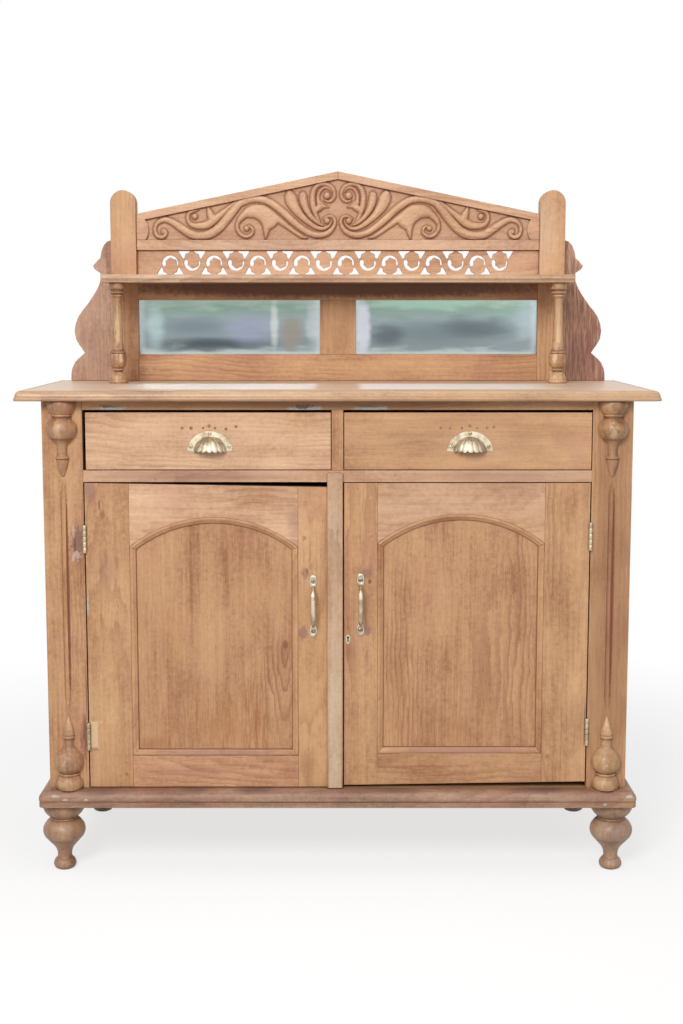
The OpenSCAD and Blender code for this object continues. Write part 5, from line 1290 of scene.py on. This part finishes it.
@dataclass
class DoorMoulding:
    """The mitred moulding round a door's panel, whose tongues reach into the frame round it.

    At a distance t in from the opening's outline a point is on the outline's inner offset: the
    sides at half minus t, the foot at low plus t, and the arch at radius minus t.
    """

    side: str
    crown: float
    radius: float = 0.273
    tongue: float = 0.008
    width: float = 0.0132
    grain_shifts: tuple = (30, 40, 60, 40)
    middle: float = field(init=False)
    half: float = field(init=False)
    low: float = field(init=False)

    def __post_init__(self) -> None:
        """Take the opening's middle, half width and foot from the panel's box."""
        low, high = span(self.side + "_panel")
        self.middle = (low[0] + high[0]) / 2
        self.half = (high[0] - low[0]) / 2 - self.tongue
        self.low = low[2] + self.tongue

    def section(self) -> Points:
        """Give the section as [distance in, depth behind the door's face], from the outer line
        over the bead and the hollow to the panel, and back behind it."""
        keys = np.array([(0.0, 0.6), (0.45, -0.5), (1.4, -1.3), (3.2, -1.7), (5.2, -1.3), (7.2, 0.1),
                         (9.2, 1.9), (11.2, 3.0), (12.4, 3.7), (13.0, 5.0), (13.2, 7.2)]) * MM
        return np.concatenate([smooth(keys, 4), [(0.0126, 0.0078), (0.0002, 0.0026)]])

    def stretches(self, t: Points, run: Points) -> list[Points]:
        """Give the four stretches as grids of [across, up], one row for each t."""
        centre = self.crown - self.radius
        half, radius, low = self.half - t, self.radius - t, self.low + t
        spring = centre + np.sqrt(radius ** 2 - half ** 2)
        side = np.stack([half + 0 * run, low + (spring - low) * run], 2)
        foot = np.stack([half - 2 * half * run, low + 0 * run], 2)
        reach = np.arcsin(half / radius)
        turn = reach - 2 * reach * run
        arch = np.stack([radius * np.sin(turn), centre + radius * np.cos(turn)], 2)
        other = np.stack([-half + 0 * run, spring + (low - spring) * run], 2)
        return [foot, side, arch, other]

    def build(self) -> None:
        """Make the four stretches, closed at their mitres, as one piece."""
        rows = self.section()
        t = rows[:, 0][:, None]
        stretches = []
        run = np.concatenate([[0, 0.003], np.linspace(0.01, 0.99, 58), [0.997, 1]])[None, :]
        for shift, flat in zip(self.grain_shifts, self.stretches(t, run)):
            depth = np.broadcast_to(FRONT + rows[:, 1][:, None], flat.shape[:2])
            points = np.stack([self.middle + flat[..., 0], depth, flat[..., 1]], 2)
            grain = np.stack([np.broadcast_to(travelled(flat[0]) + shift, flat.shape[:2]),
                              np.broadcast_to(t, flat.shape[:2])], 2)
            # Painted shade where the moulding meets the frame and the panel, and dark mitre joints.
            dark = np.exp(-(t / 0.0007) ** 2) + np.exp(-((t - self.width) / 0.0016) ** 2)
            mitre = 0.75 * np.exp(-(np.minimum(run, 1 - run) / 0.001) ** 2)
            stretches.append(bar(points, grain, np.clip(dark + mitre, 0, 1)))
        seed = 41 if self.side == "left" else 47
        foot = Mark((self.middle, self.low + 0.006), (self.half, 0.009), PURPLE, 0.6, 1.6, 0.6)
        finish = BOARD.material("wood_%s_moulding" % self.side, Grain.ALONG_MAP, (0, 0, 0), seed,
                                (foot,), groove_shade=0.9)
        joined(stretches).piece(self.side + "_panel_moulding", self.side + "_door", "stripped_wood",
                                finish)


@dataclass
class Carving:
    """The carved crest: scrolls and leaves that rise from a field, worked out as heights.

    A stroke is a smooth curve through [distance from the middle, height over the field's foot,
    width] in millimetres. Over a stroke of half width w, at a distance d from its line, the
    height is the crown times the root of 1 - (d / w) squared. A leaf is a closed outline, and
    at a distance e inside it the height is the crown times the root of 1 - (1 - e / edge)
    squared. Where forms meet the higher one shows, so a valley is left between them.
    """

    field_half: float = 0.4365
    low: float = 1.3285
    end_rise: float = 0.0455
    mid_rise: float = 0.1355
    face: float = span("crest_board")[0][1]
    crown: float = 0.0078
    leaf_edge: float = 0.011
    tool_marks: float = 0.00007
    columns: int = 740
    rows: int = 124
    seed: int = 77
    strokes: tuple = (
        ((398.7, 19.5, 5), (396.2, 22.6, 7), (390.6, 18.8, 9), (391.2, 11.4, 10), (398.7, 6.4, 11),
         (407.6, 8.3, 10), (413.2, 15.1, 9.5), (414.5, 25, 9), (411.3, 34.9, 9.5),
         (402.5, 42.4, 11.5), (391.2, 45.5, 13.5), (379.8, 42.4, 15), (368.5, 36.2, 16.5),
         (357.2, 28.7, 18), (345.8, 20.7, 19), (334.5, 13.9, 20), (321.9, 10.2, 20),
         (309.3, 9.5, 20), (296.7, 11.4, 20.5), (284.1, 16.4, 21), (272.8, 24.4, 21),
         (262.7, 34.3, 21), (252.6, 45.5, 20.5), (242.6, 57.9, 20), (232.5, 70.3, 19),
         (222.4, 81.4, 18), (209.9, 87.1, 17.5), (197.4, 90.9, 17), (181, 91.8, 17),
         (166, 89.6, 17), (153.4, 84.1, 17), (142.1, 76.6, 17), (130.8, 68, 17), (119.5, 58.1, 17),
         (108.2, 47.6, 16.5), (96.9, 37.7, 16), (85.6, 29, 15.5), (73, 20.4, 15), (60.4, 14.2, 15),
         (46.6, 11.1, 15), (32.8, 12.1, 14), (20.2, 17.9, 12.5), (11.4, 27.2, 10.5),
         (6.6, 38.3, 9), (8.5, 48.2, 8), (16.5, 53.2, 7), (25.3, 51.9, 6.5), (31.5, 47, 6)),
        ((316.9, 67.2, 4), (324.4, 65.3, 7), (334.5, 62.2, 9), (339.5, 53.5, 9.5),
         (338.3, 42.4, 10.5), (332, 34.9, 12), (321.9, 31.8, 14), (308.1, 31.8, 17),
         (295.5, 34.9, 19), (282.9, 42.4, 18), (270.3, 52.9, 15.5), (256.4, 64.1, 12),
         (243.8, 75.2, 9), (231.2, 85.8, 6), (223.7, 90.7, 3)),
        ((294.2, 75.8, 3), (292.3, 68.4, 9), (289.2, 59.7, 15), (285.4, 49.8, 19), (282, 43, 17)),
        ((112.6, 108.2, 5), (109.4, 102.6, 18), (106.3, 92.7, 28), (101.9, 80.3, 26), (94.3, 68, 22),
         (85.6, 56.9, 18), (75.5, 47, 15), (64.2, 37.7, 13), (52.9, 30.3, 11.5), (41.6, 26, 10),
         (30.3, 26, 9), (20.2, 32.1, 7), (14.6, 40.8, 5)),
        ((79.3, 106.1, 5), (79.3, 100.1, 17), (78.3, 89, 19), (74.9, 76.6, 17), (69.2, 64.3, 14.5),
         (61.7, 53.2, 12), (52.9, 44.5, 10), (44.1, 37.7, 8), (35.3, 33.4, 6)),
        ((41.6, 40.8, 6), (48.5, 53.2, 10), (52.9, 65.5, 13), (56, 77.9, 14), (57.7, 90.2, 14),
         (56.7, 102.6, 13), (52.9, 113.7, 12), (45.4, 121.8, 11), (35.3, 125.1, 10.5),
         (24, 123.6, 10), (13.9, 117.4, 9.5), (8.3, 107.5, 9), (7.9, 97.7, 8.5), (12.7, 89.6, 8),
         (21.5, 85.9, 7), (29.6, 89, 5)),
        ((40.3, 70.5, 9), (43.5, 80.3, 10), (44.7, 90.2, 9), (43.5, 102.6, 8.5), (37.8, 111.9, 8),
         (29, 116.8, 7), (20.2, 114.3, 6), (14.6, 107.5, 4)),
        ((51, 66, 13), (43, 71.5, 15), (35, 75, 11), (28, 74.5, 6), (21, 72.7, 2)),
        ((44, 88, 9), (38, 82, 9), (30, 77, 6), (22, 73, 2)),
        ((203.6, 62, 20), (214, 54.4, 16), (223.2, 44.5, 12), (228.1, 33.4, 10), (226.9, 22.2, 9.5),
         (220, 13, 9.5), (209.9, 8, 9.5), (199.9, 9.9, 9), (193, 17.3, 8), (194.2, 26, 7),
         (201.1, 31.5, 6)))
    leaf: tuple = (
        (179.8, 79.7), (166, 77.9), (154.6, 71.7), (144.6, 64.3), (134.5, 55.6), (123.2, 45.7),
        (111.9, 35.8), (100.6, 26.6), (89.3, 18.5), (78, 11.1), (68, 5.6), (73, 2.5), (84.3, 4.3),
        (95.6, 11.1), (106.9, 18.5), (118.2, 26), (128.3, 32.1), (135.8, 36.5), (140.8, 30.9),
        (148.4, 26), (154, 22.2), (155.9, 17.3), (159, 9.9), (164.7, 1.2), (167.2, 8.7),
        (168.5, 18.5), (170.4, 28.4), (175.4, 38.3), (183.5, 45.7), (192.3, 49.4), (201, 49.4),
        (207, 51), (213, 55), (216, 60), (214, 66), (207.4, 72.9), (197.4, 77.9),
        (188.6, 79.7))
    eyes: tuple = ((24.6, 98.9, 16.5), (24.6, 42.6, 14), (206.8, 26, 13), (323.8, 52.3, 14),
                   (396.2, 17.5, 9))

    def heights(self, x: Points, z: Points) -> tuple[Points, Points]:
        """Give the carving's height at every place, and its painted shade in the low ground and
        valleys.
        """
        rise = np.zeros_like(x)
        away = np.full_like(x, 1.0)
        for stroke in self.strokes:
            line = smooth(np.array(stroke, dtype=float) * MM, 6)
            for first in range(0, len(line) - 1, 24):
                self.raise_stroke(x, z, line[first:first + 25], rise, away)
        self.raise_leaf(x, z, rise, away)
        for eye in self.eyes:
            line = np.array([eye]) * MM
            self.raise_stroke(x, z, line, rise, away, 1.06)
        # Painted shade: the low ground a little, the valleys beside the forms more.
        groove = 0.22 + 0.7 * np.exp(-(away / 0.0030) ** 2)
        groove = groove * (1 - np.clip(rise / (self.crown * 0.9), 0, 1)) ** 0.8
        return rise, groove

    def raise_stroke(self, x: Points, z: Points, line: Points, rise: Points, away: Points,
                     crown: float = 1.0) -> None:
        """Raise one run of a stroke in place, working only inside the box that it fills."""
        room = 0.018
        inside = ((x > line[:, 0].min() - room) & (x < line[:, 0].max() + room)
                  & (z > line[:, 1].min() - room) & (z < line[:, 1].max() + room))
        px, pz = x[inside], z[inside]
        off = np.hypot(px[:, None] - line[None, :, 0], pz[:, None] - line[None, :, 1])
        half = line[:, 2] / 2
        share = off / half
        best = share.argmin(axis=1)
        rows = np.arange(len(px))
        width = half[best]
        dome = np.sqrt(np.clip(1 - share[rows, best] ** 2, 0, 1))
        here = self.crown * crown * np.clip(width / 0.0075, 0.2, 1.0) ** 0.6 * dome
        rise[inside] = np.maximum(rise[inside], here)
        away[inside] = np.minimum(away[inside], np.abs(off[rows, best] - width))

    def raise_leaf(self, x: Points, z: Points, rise: Points, away: Points) -> None:
        """Raise the broad leaf in place: count how often its outline is crossed on the way out
        to learn which places lie inside, and dome them by their distance from it."""
        keys = np.array(self.leaf + self.leaf[:1], dtype=float) * MM
        line = smooth(keys, 5)
        inside = ((x > line[:, 0].min() - 0.006) & (x < line[:, 0].max() + 0.006)
                  & (z < line[:, 1].max() + 0.006))
        px, pz = x[inside][:, None], z[inside][:, None]
        a, b = line[:-1], line[1:]
        level = (a[:, 1] > pz) != (b[:, 1] > pz)
        rise_over = np.where(b[:, 1] == a[:, 1], 1.0, b[:, 1] - a[:, 1])
        cross = px < a[:, 0] + (b[:, 0] - a[:, 0]) * (pz - a[:, 1]) / rise_over
        odd = (level & cross).sum(axis=1) % 2 == 1
        off = np.hypot(px - line[:, 0], pz - line[:, 1]).min(axis=1)
        share = np.clip(off / self.leaf_edge, 0, 1)
        here = np.where(odd, self.crown * 0.95 * np.sqrt(1 - (1 - share) ** 2), 0)
        rise[inside] = np.maximum(rise[inside], here)
        away[inside] = np.minimum(away[inside], off)

    def build(self) -> None:
        """Lay a grid over the gabled field, raise it, and close it at its border and back."""
        x = np.linspace(-self.field_half, self.field_half, self.columns)[:, None]
        top = self.mid_rise - (self.mid_rise - self.end_rise) * np.abs(x) / self.field_half
        z = top * np.linspace(0, 1, self.rows)[None, :]
        x = np.broadcast_to(x, z.shape)
        rise, groove = self.heights(np.abs(x), z)
        # Painted shade along the field's top edge and its foot, where the frame meets it.
        rim = np.exp(-((top - z) / 0.0028) ** 2) + 0.5 * np.exp(-(z / 0.0016) ** 2)
        draw = np.random.default_rng(3)
        tool = sum(np.sin(x * draw.uniform(200, 900) + z * draw.uniform(-900, 900) + draw.uniform(0, 6))
                   for _ in range(9)) * self.tool_marks
        front = np.stack([x, self.face - 0.0004 - rise - tool, self.low + z], 2)
        back = np.stack([x, np.full_like(x, self.face + 0.001), self.low + z], 2)
        number = np.arange(x.size).reshape(x.shape)
        loop = np.concatenate([number[:-1, 0], number[-1, :-1], number[:0:-1, -1], number[0, :0:-1]])
        ring = np.arange(len(loop)) + x.size
        strip = np.stack([loop, ring, np.roll(ring, -1), np.roll(loop, -1)], axis=1)
        points = np.concatenate([front.reshape(-1, 3), back.reshape(-1, 3)[loop]])
        hollow = np.concatenate([np.clip(groove + rim, 0, 1).ravel(), np.zeros(len(loop))])
        shape = Shape(points, [grid_faces(*x.shape), strip, ring[None, :]], None, hollow)
        finish = CARVED.material("wood_carving", Grain.ACROSS, (0, self.face, self.low), self.seed,
                                 groove_shade=0.8)
        shape.piece("carved_crest", "cabinet", "stripped_wood", finish, ["crest_carving"], 60.0)


@dataclass
class CupPull:
    """A cast cup pull: a half-round plate, a fluted shell and three screws.

    The shell's points lie on a squat ball at a latitude and a turn. Its flutes all run from the
    top to the lip: the radius grows by the flute's depth times the size of the sine of the
    flutes' count times the turn's share, and the lip is notched where that sine is small.
    """

    side: str
    middle: float = field(init=False)
    face: float = DRAWER_FRONT
    low: float = 0.8858
    plate_half: float = 0.047
    plate_rise: float = 0.877
    plate_thick: float = 0.0017
    ball: float = 0.036
    behind: float = 0.011
    flutes: int = 7
    flute: float = 0.0015
    squat: float = 0.91
    scallop: float = 0.004
    wall: float = 0.0014
    screws: tuple = ((0.0, 0.0365), (-0.0385, 0.0100), (0.0385, 0.0100))

    def __post_init__(self) -> None:
        """Find the middle of its node."""
        self.middle = middle_of(self.side + "_cup_pull")[0]

    def shell(self, ball: float) -> Points:
        """Give the shell's grid for a ball of that radius."""
        front = self.face - self.plate_thick + 0.0004
        centre = self.face + self.behind
        open_to = math.acos(min(1.0, (centre - front) / ball))
        climb = np.linspace(0, 1, 26)[:, None]
        latitude = climb * open_to * 0.999
        share = np.linspace(-1, 1, 18 * self.flutes + 1)[None, :]
        reach = np.arccos(np.clip((centre - front) / (ball * np.cos(latitude)), -1, 1))
        turn = share * reach
        swell = np.abs(np.sin(math.pi * self.flutes * (share + 1) / 2))
        depth = self.flute * (1 - climb) ** 0.8
        radius = ball + depth * (swell ** 0.7 - 0.55)
        x = self.middle + radius * np.cos(latitude) * np.sin(turn)
        y = centre - radius * np.cos(latitude) * np.cos(turn)
        notch = self.scallop * (1 - swell) ** 1.5 * (1 - climb) ** 4
        z = self.low - 0.0004 + self.squat * radius * np.sin(latitude) + notch
        return np.stack([x, np.minimum(y, front), z + 0 * x], 2)

    def build(self) -> None:
        """Make the plate and the shell as one piece, and the screws as another."""
        turn = np.linspace(0, math.pi, 49)
        half = self.plate_half
        arch = np.stack([self.middle + half * np.cos(turn),
                         self.low + half * np.sin(turn) * self.plate_rise], 1)
        foot = np.linspace(self.middle - half, self.middle + half, 12)[1:-1]
        bottom = np.stack([foot, np.full(10, self.low - 0.0005)], 1)
        thick = self.plate_thick
        rows = [(1.0, -0.0003), (1.0, 0.0008), (0.988, thick), (0.95, thick * 1.05)]
        plate = relief(np.concatenate([arch, bottom]), rows, self.face)
        cup = thick_sheet(self.shell(self.ball), self.shell(self.ball - self.wall))
        whole = plate + cup
        whole.piece(self.side + "_shell_pull", self.side + "_drawer", "aged_brass", metal("brass"),
                    [self.side + "_cup_pull"], 42.0)
        heads = [screw((self.middle + x, self.low + z), self.face - thick, 0.0040, 0.0012)
                 for x, z in self.screws]
        joined(heads).piece(self.side + "_cup_screws", self.side + "_drawer", "aged_brass",
                            metal("hinge"), (), 42.0)


def screw(place: tuple[float, float], face: float, half: float, crown: float, seed: int = 1) -> Shape:
    """Make a slotted screw head: a low dome, with a slot sunk where a line crosses it."""
    outline = oval(place, (half, half), count=40)
    shape = relief(outline, [(1.0, -0.0002), (1.0, 0.0003), (0.93, crown * 0.6), (0.75, crown),
                             (0.5, crown * 1.15), (0.25, crown * 1.2)], face)
    tilt = np.random.default_rng(int(abs(place[0]) * 10000) + seed).uniform(0, math.pi)
    across = ((shape.points[:, 0] - place[0]) * math.cos(tilt)
              + (shape.points[:, 2] - place[1]) * math.sin(tilt))
    inside = (np.abs(across) < half * 0.16) & (shape.points[:, 1] < face - 0.0002)
    shape.points[:, 1] = np.where(inside, face - 0.0001, shape.points[:, 1])
    return shape


@dataclass
class DoorPull:
    """A cast bow pull: two oval plates with a sunk screw each, and a grip on two necks.

    A row of the bow is its depth, its height over the middle, its half width and its half
    thickness, in millimetres, from the upper plate to the middle.
    """

    side: str
    face: float = FRONT
    plate: tuple[float, float] = (0.0080, 0.0138)
    plate_at: float = 0.052
    bow: tuple = ((-216.8, 40.5, 3.6, 3.4), (-222.5, 40, 3.1, 3), (-230, 37.5, 3, 2.8),
                  (-237.2, 32.5, 3.7, 3.1), (-240.5, 26.2, 4.6, 3.2), (-241.8, 18, 4.6, 3.1),
                  (-242.4, 9, 4.5, 3), (-242.6, 0, 4.4, 3))

    def build(self) -> None:
        """Make both plates and the grip, an oval tube along its bow, and then their screws."""
        rows = [(1.0, -0.0004), (1.0, 0.0013), (0.95, 0.0022), (0.84, 0.0028), (0.66, 0.0028),
                (0.60, 0.0018), (0.56, 0.0014)]
        across, up = middle_of(self.side + "_door_pull")
        spots = [(across, up + end * self.plate_at) for end in (-1, 1)]
        plates = joined([relief(oval(spot, self.plate, 2.5, 48), rows, self.face) for spot in spots])
        heads = joined([screw(spot, self.face - 0.0014, 0.0044, 0.0008, 5) for spot in spots])
        heads.piece(self.side + "_bow_screws", self.side + "_door", "dark_steel", metal("steel"),
                    (), 42.0)
        half = smooth(np.array(self.bow) * MM, 7)
        bow = np.concatenate([half, half[-2::-1] * (1, -1, 1, 1)])
        path = np.stack([np.full(len(bow), across), bow[:, 0], up + bow[:, 1]], 1)
        whole = plates + tube(path, bow[:, 2], bow[:, 3])
        whole.piece(self.side + "_bow_pull", self.side + "_door", "aged_brass", metal("brass"),
                    [self.side + "_door_pull"], 45.0)


@dataclass
class Fixings:
    """Pegs and plugged holes: small low discs on the fronts, with places in millimetres."""

    peg: float = 0.0042
    plug: float = 0.0031
    pegs: dict[str, tuple] = field(default_factory=lambda: {
        "left": ((-436.2, 778.2), (-436.1, 712.2), (-66.3, 779.2), (-68.6, 708.1),
                 (-441.0, 236.4), (-441.5, 210.7), (-68.0, 230.0), (-68.0, 208.5)),
        "right": ((68.3, 790.5), (68.5, 713.3), (436.5, 792.6), (69.6, 239.4), (73.9, 206.4),
                  (436.2, 248.2), (434.6, 219.2))})
    plugs: dict[str, tuple] = field(default_factory=lambda: {
        "left": ((-315.3, 933.3), (-297.1, 933.3), (-272.8, 933.3), (-260.5, 937.4),
                 (-248.4, 933.3), (-226.1, 931.3), (-205.8, 936.4)),
        "right": ((209.9, 933.3), (228.2, 933.3), (252.5, 933.3), (268.7, 937.4), (282.9, 933.3),
                  (303.2, 933.3), (317.4, 935.4))})

    def build(self) -> None:
        """Set the pegs in the doors and the plugs in the drawers."""
        for side in ("left", "right"):
            self.discs(side + "_door_pegs", side + "_door", self.pegs[side], FRONT, self.peg,
                       0.00035, HONEY, 61)
            self.discs(side + "_drawer_plugs", side + "_drawer", self.plugs[side], DRAWER_FRONT,
                       self.plug, 0.00025, PLUG_WOOD, 63)

    @staticmethod
    def discs(name: str, body: str, places: tuple, face: float, size: float, proud: float,
              wood: Wood, seed: int) -> None:
        """Make one piece of all the discs, each a little uneven."""
        made = []
        for number, place in enumerate(places):
            draw = np.random.default_rng(seed + number)
            half = size * draw.uniform(0.8, 1.15)
            outline = oval(np.array(place) * MM, (half, half * draw.uniform(0.85, 1.1)), 2.0, 20, 0.07,
                           seed + number)
            made.append(relief(outline, [(1.0, -0.0003), (1.0, proud * 0.5), (0.9, proud)], face))
        finish = wood.material("wood_" + name, Grain.DEEP, (0, face, 0.9), seed)
        joined(made).piece(name, body, "stripped_wood", finish)


METALS: dict[str, Metal] = {"brass": BRASS, "hinge": HINGE_METAL, "steel": STEEL, "iron": IRON}


def metal(kind: str) -> bpy.types.Material:
    """Give the finish of a metal, made once and shared."""
    name = "metal_" + kind
    return bpy.data.materials.get(name) or METALS[kind].material(name)


@dataclass
class Hardware:
    """Hinges, lock, bolt and pulls."""

    wear: float = 0.0003
    kept: dict[str, str] = field(default_factory=lambda: {
        "hinge_fixed_leaves": "hinge", "left_hinge_leaves": "hinge", "right_hinge_leaves": "hinge",
        "hinge_pins": "steel", "escutcheon": "brass", "slide_bolt_case": "iron",
        "slide_bolt": "iron", "lock_case": "steel", "lock_bolt": "steel"})

    def build(self) -> None:
        """Dress the kept metal nodes and make the pulls."""
        for node, kind in self.kept.items():
            dress_node(node, metal(kind))
            soften(node, self.wear)
        for pull in (CupPull, DoorPull):
            for side in ("left", "right"):
                pull(side).build()


@dataclass
class Studio:
    """The camera at the photograph's angle, a pale floor, and soft light from above and front."""

    eye: tuple[float, float, float] = (0.00813, -3.3737, 1.1667)
    pitch: float = 82.694
    lens: float = 54.84
    floor_half: float = 14.0

    def build(self) -> None:
        """Make the camera, the floor, the world and the lamps."""
        scene = bpy.context.scene
        scene.view_settings.view_transform = "Standard"
        camera = bpy.data.cameras.new("camera")
        camera.lens = self.lens
        camera.sensor_width = 36
        holder = bpy.data.objects.new("camera", camera)
        holder.location = self.eye
        holder.rotation_euler = (math.radians(self.pitch), 0, 0)
        scene.collection.objects.link(holder)
        scene.camera = holder
        self.floor()
        self.world()
        self.lamp("key", (-1.3, -4.5, 3.5), (0, 0, 0.75), 1.8, 176)
        self.lamp("fill", (2.2, -4.4, 2.2), (0, 0, 0.7), 2.4, 34)
        self.lamp("top", (0.1, -0.3, 3.6), (0, 0, 0.9), 2.0, 29)

    @staticmethod
    def seen(graph: Graph) -> Value:
        """Give 1 where a camera, glossy or transmission ray looks, and 0 for other light."""
        path = graph.node("ShaderNodeLightPath", output="Is Camera Ray")
        both = path + graph.sibling(path, "Is Glossy Ray") + graph.sibling(path, "Is Transmission Ray")
        return both.math("MINIMUM", both, 1.0)

    def floor(self) -> None:
        """Make the floor: it keeps the shadow near the cabinet and runs out to plain white."""
        h = self.floor_half
        mesh = bpy.data.meshes.new("floor")
        mesh.from_pydata([(-h, -h, 0), (h, -h, 0), (h, h, 0), (-h, h, 0)], [], [(0, 1, 2, 3)])
        made = bpy.data.objects.new("floor", mesh)
        bpy.context.scene.collection.objects.link(made)
        graph = Graph(bpy.data.materials.new("floor"))
        seen = self.seen(graph)
        away = graph.length(graph.seen_from(graph.here(), (0, 0, 0), (1, 1, 1)))
        far = graph.ease(away, 0.9, 2.2)
        ground = graph.node("ShaderNodeBsdfDiffuse", {}, {"Color": (0.6, 0.6, 0.6, 1)})
        shown = graph.node("ShaderNodeBsdfDiffuse", {}, {"Color": (0.33, 0.33, 0.33, 1)})
        glow = graph.node("ShaderNodeEmission", {}, {"Color": (1, 1, 1, 1), "Strength": 0.72})
        lit = graph.node("ShaderNodeAddShader", {}, {0: shown, 1: glow})
        near = graph.node("ShaderNodeMixShader", {}, {0: seen, 1: ground, 2: lit})
        white = graph.node("ShaderNodeEmission", {}, {"Color": (1, 1, 1, 1), "Strength": 1.0})
        final = graph.node("ShaderNodeMixShader", {}, {0: far * seen, 1: near, 2: white})
        graph.node("ShaderNodeOutputMaterial", {}, {"Surface": final})
        mesh.materials.append(graph.owner)

    def world(self) -> None:
        """Make the world: white where it is seen, and a soft plain light elsewhere."""
        world = bpy.data.worlds.new("world")
        bpy.context.scene.world = world
        graph = Graph(world)
        seen = self.seen(graph)
        strength = seen * 0.8 + 0.2
        sky = graph.node("ShaderNodeBackground", {}, {"Color": (1, 1, 1, 1), "Strength": strength})
        graph.node("ShaderNodeOutputWorld", {}, {"Surface": sky})

    @staticmethod
    def lamp(name: str, place: Sequence[float], target: Sequence[float], size: float,
             power: float) -> None:
        """Hang a square soft lamp that looks at a target."""
        light = bpy.data.lights.new(name, "AREA")
        light.shape = "SQUARE"
        light.size = size
        light.energy = power
        holder = bpy.data.objects.new(name, light)
        holder.location = place
        way = Vector(target) - Vector(place)
        holder.rotation_euler = way.to_track_quat("-Z", "Y").to_euler()
        bpy.context.scene.collection.objects.link(holder)


def main() -> None:
    """Build the studio and every sub-assembly."""
    logging.basicConfig(level=logging.INFO, format="%(message)s")
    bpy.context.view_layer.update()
    Studio().build()
    Boards().dress()
    Turnings().build()
    Worktop().build()
    Plinth().build()
    Back().build()
    DoorMoulding("left", crown=0.751).build()
    DoorMoulding("right", crown=0.7575).build()
    Carving().build()
    Hardware().build()
    Fixings().build()
    dress_node("mirrors", MirrorWithPaintedReflection().material("mirror_painted_reflection"))


if __name__ == "__main__":
    main()
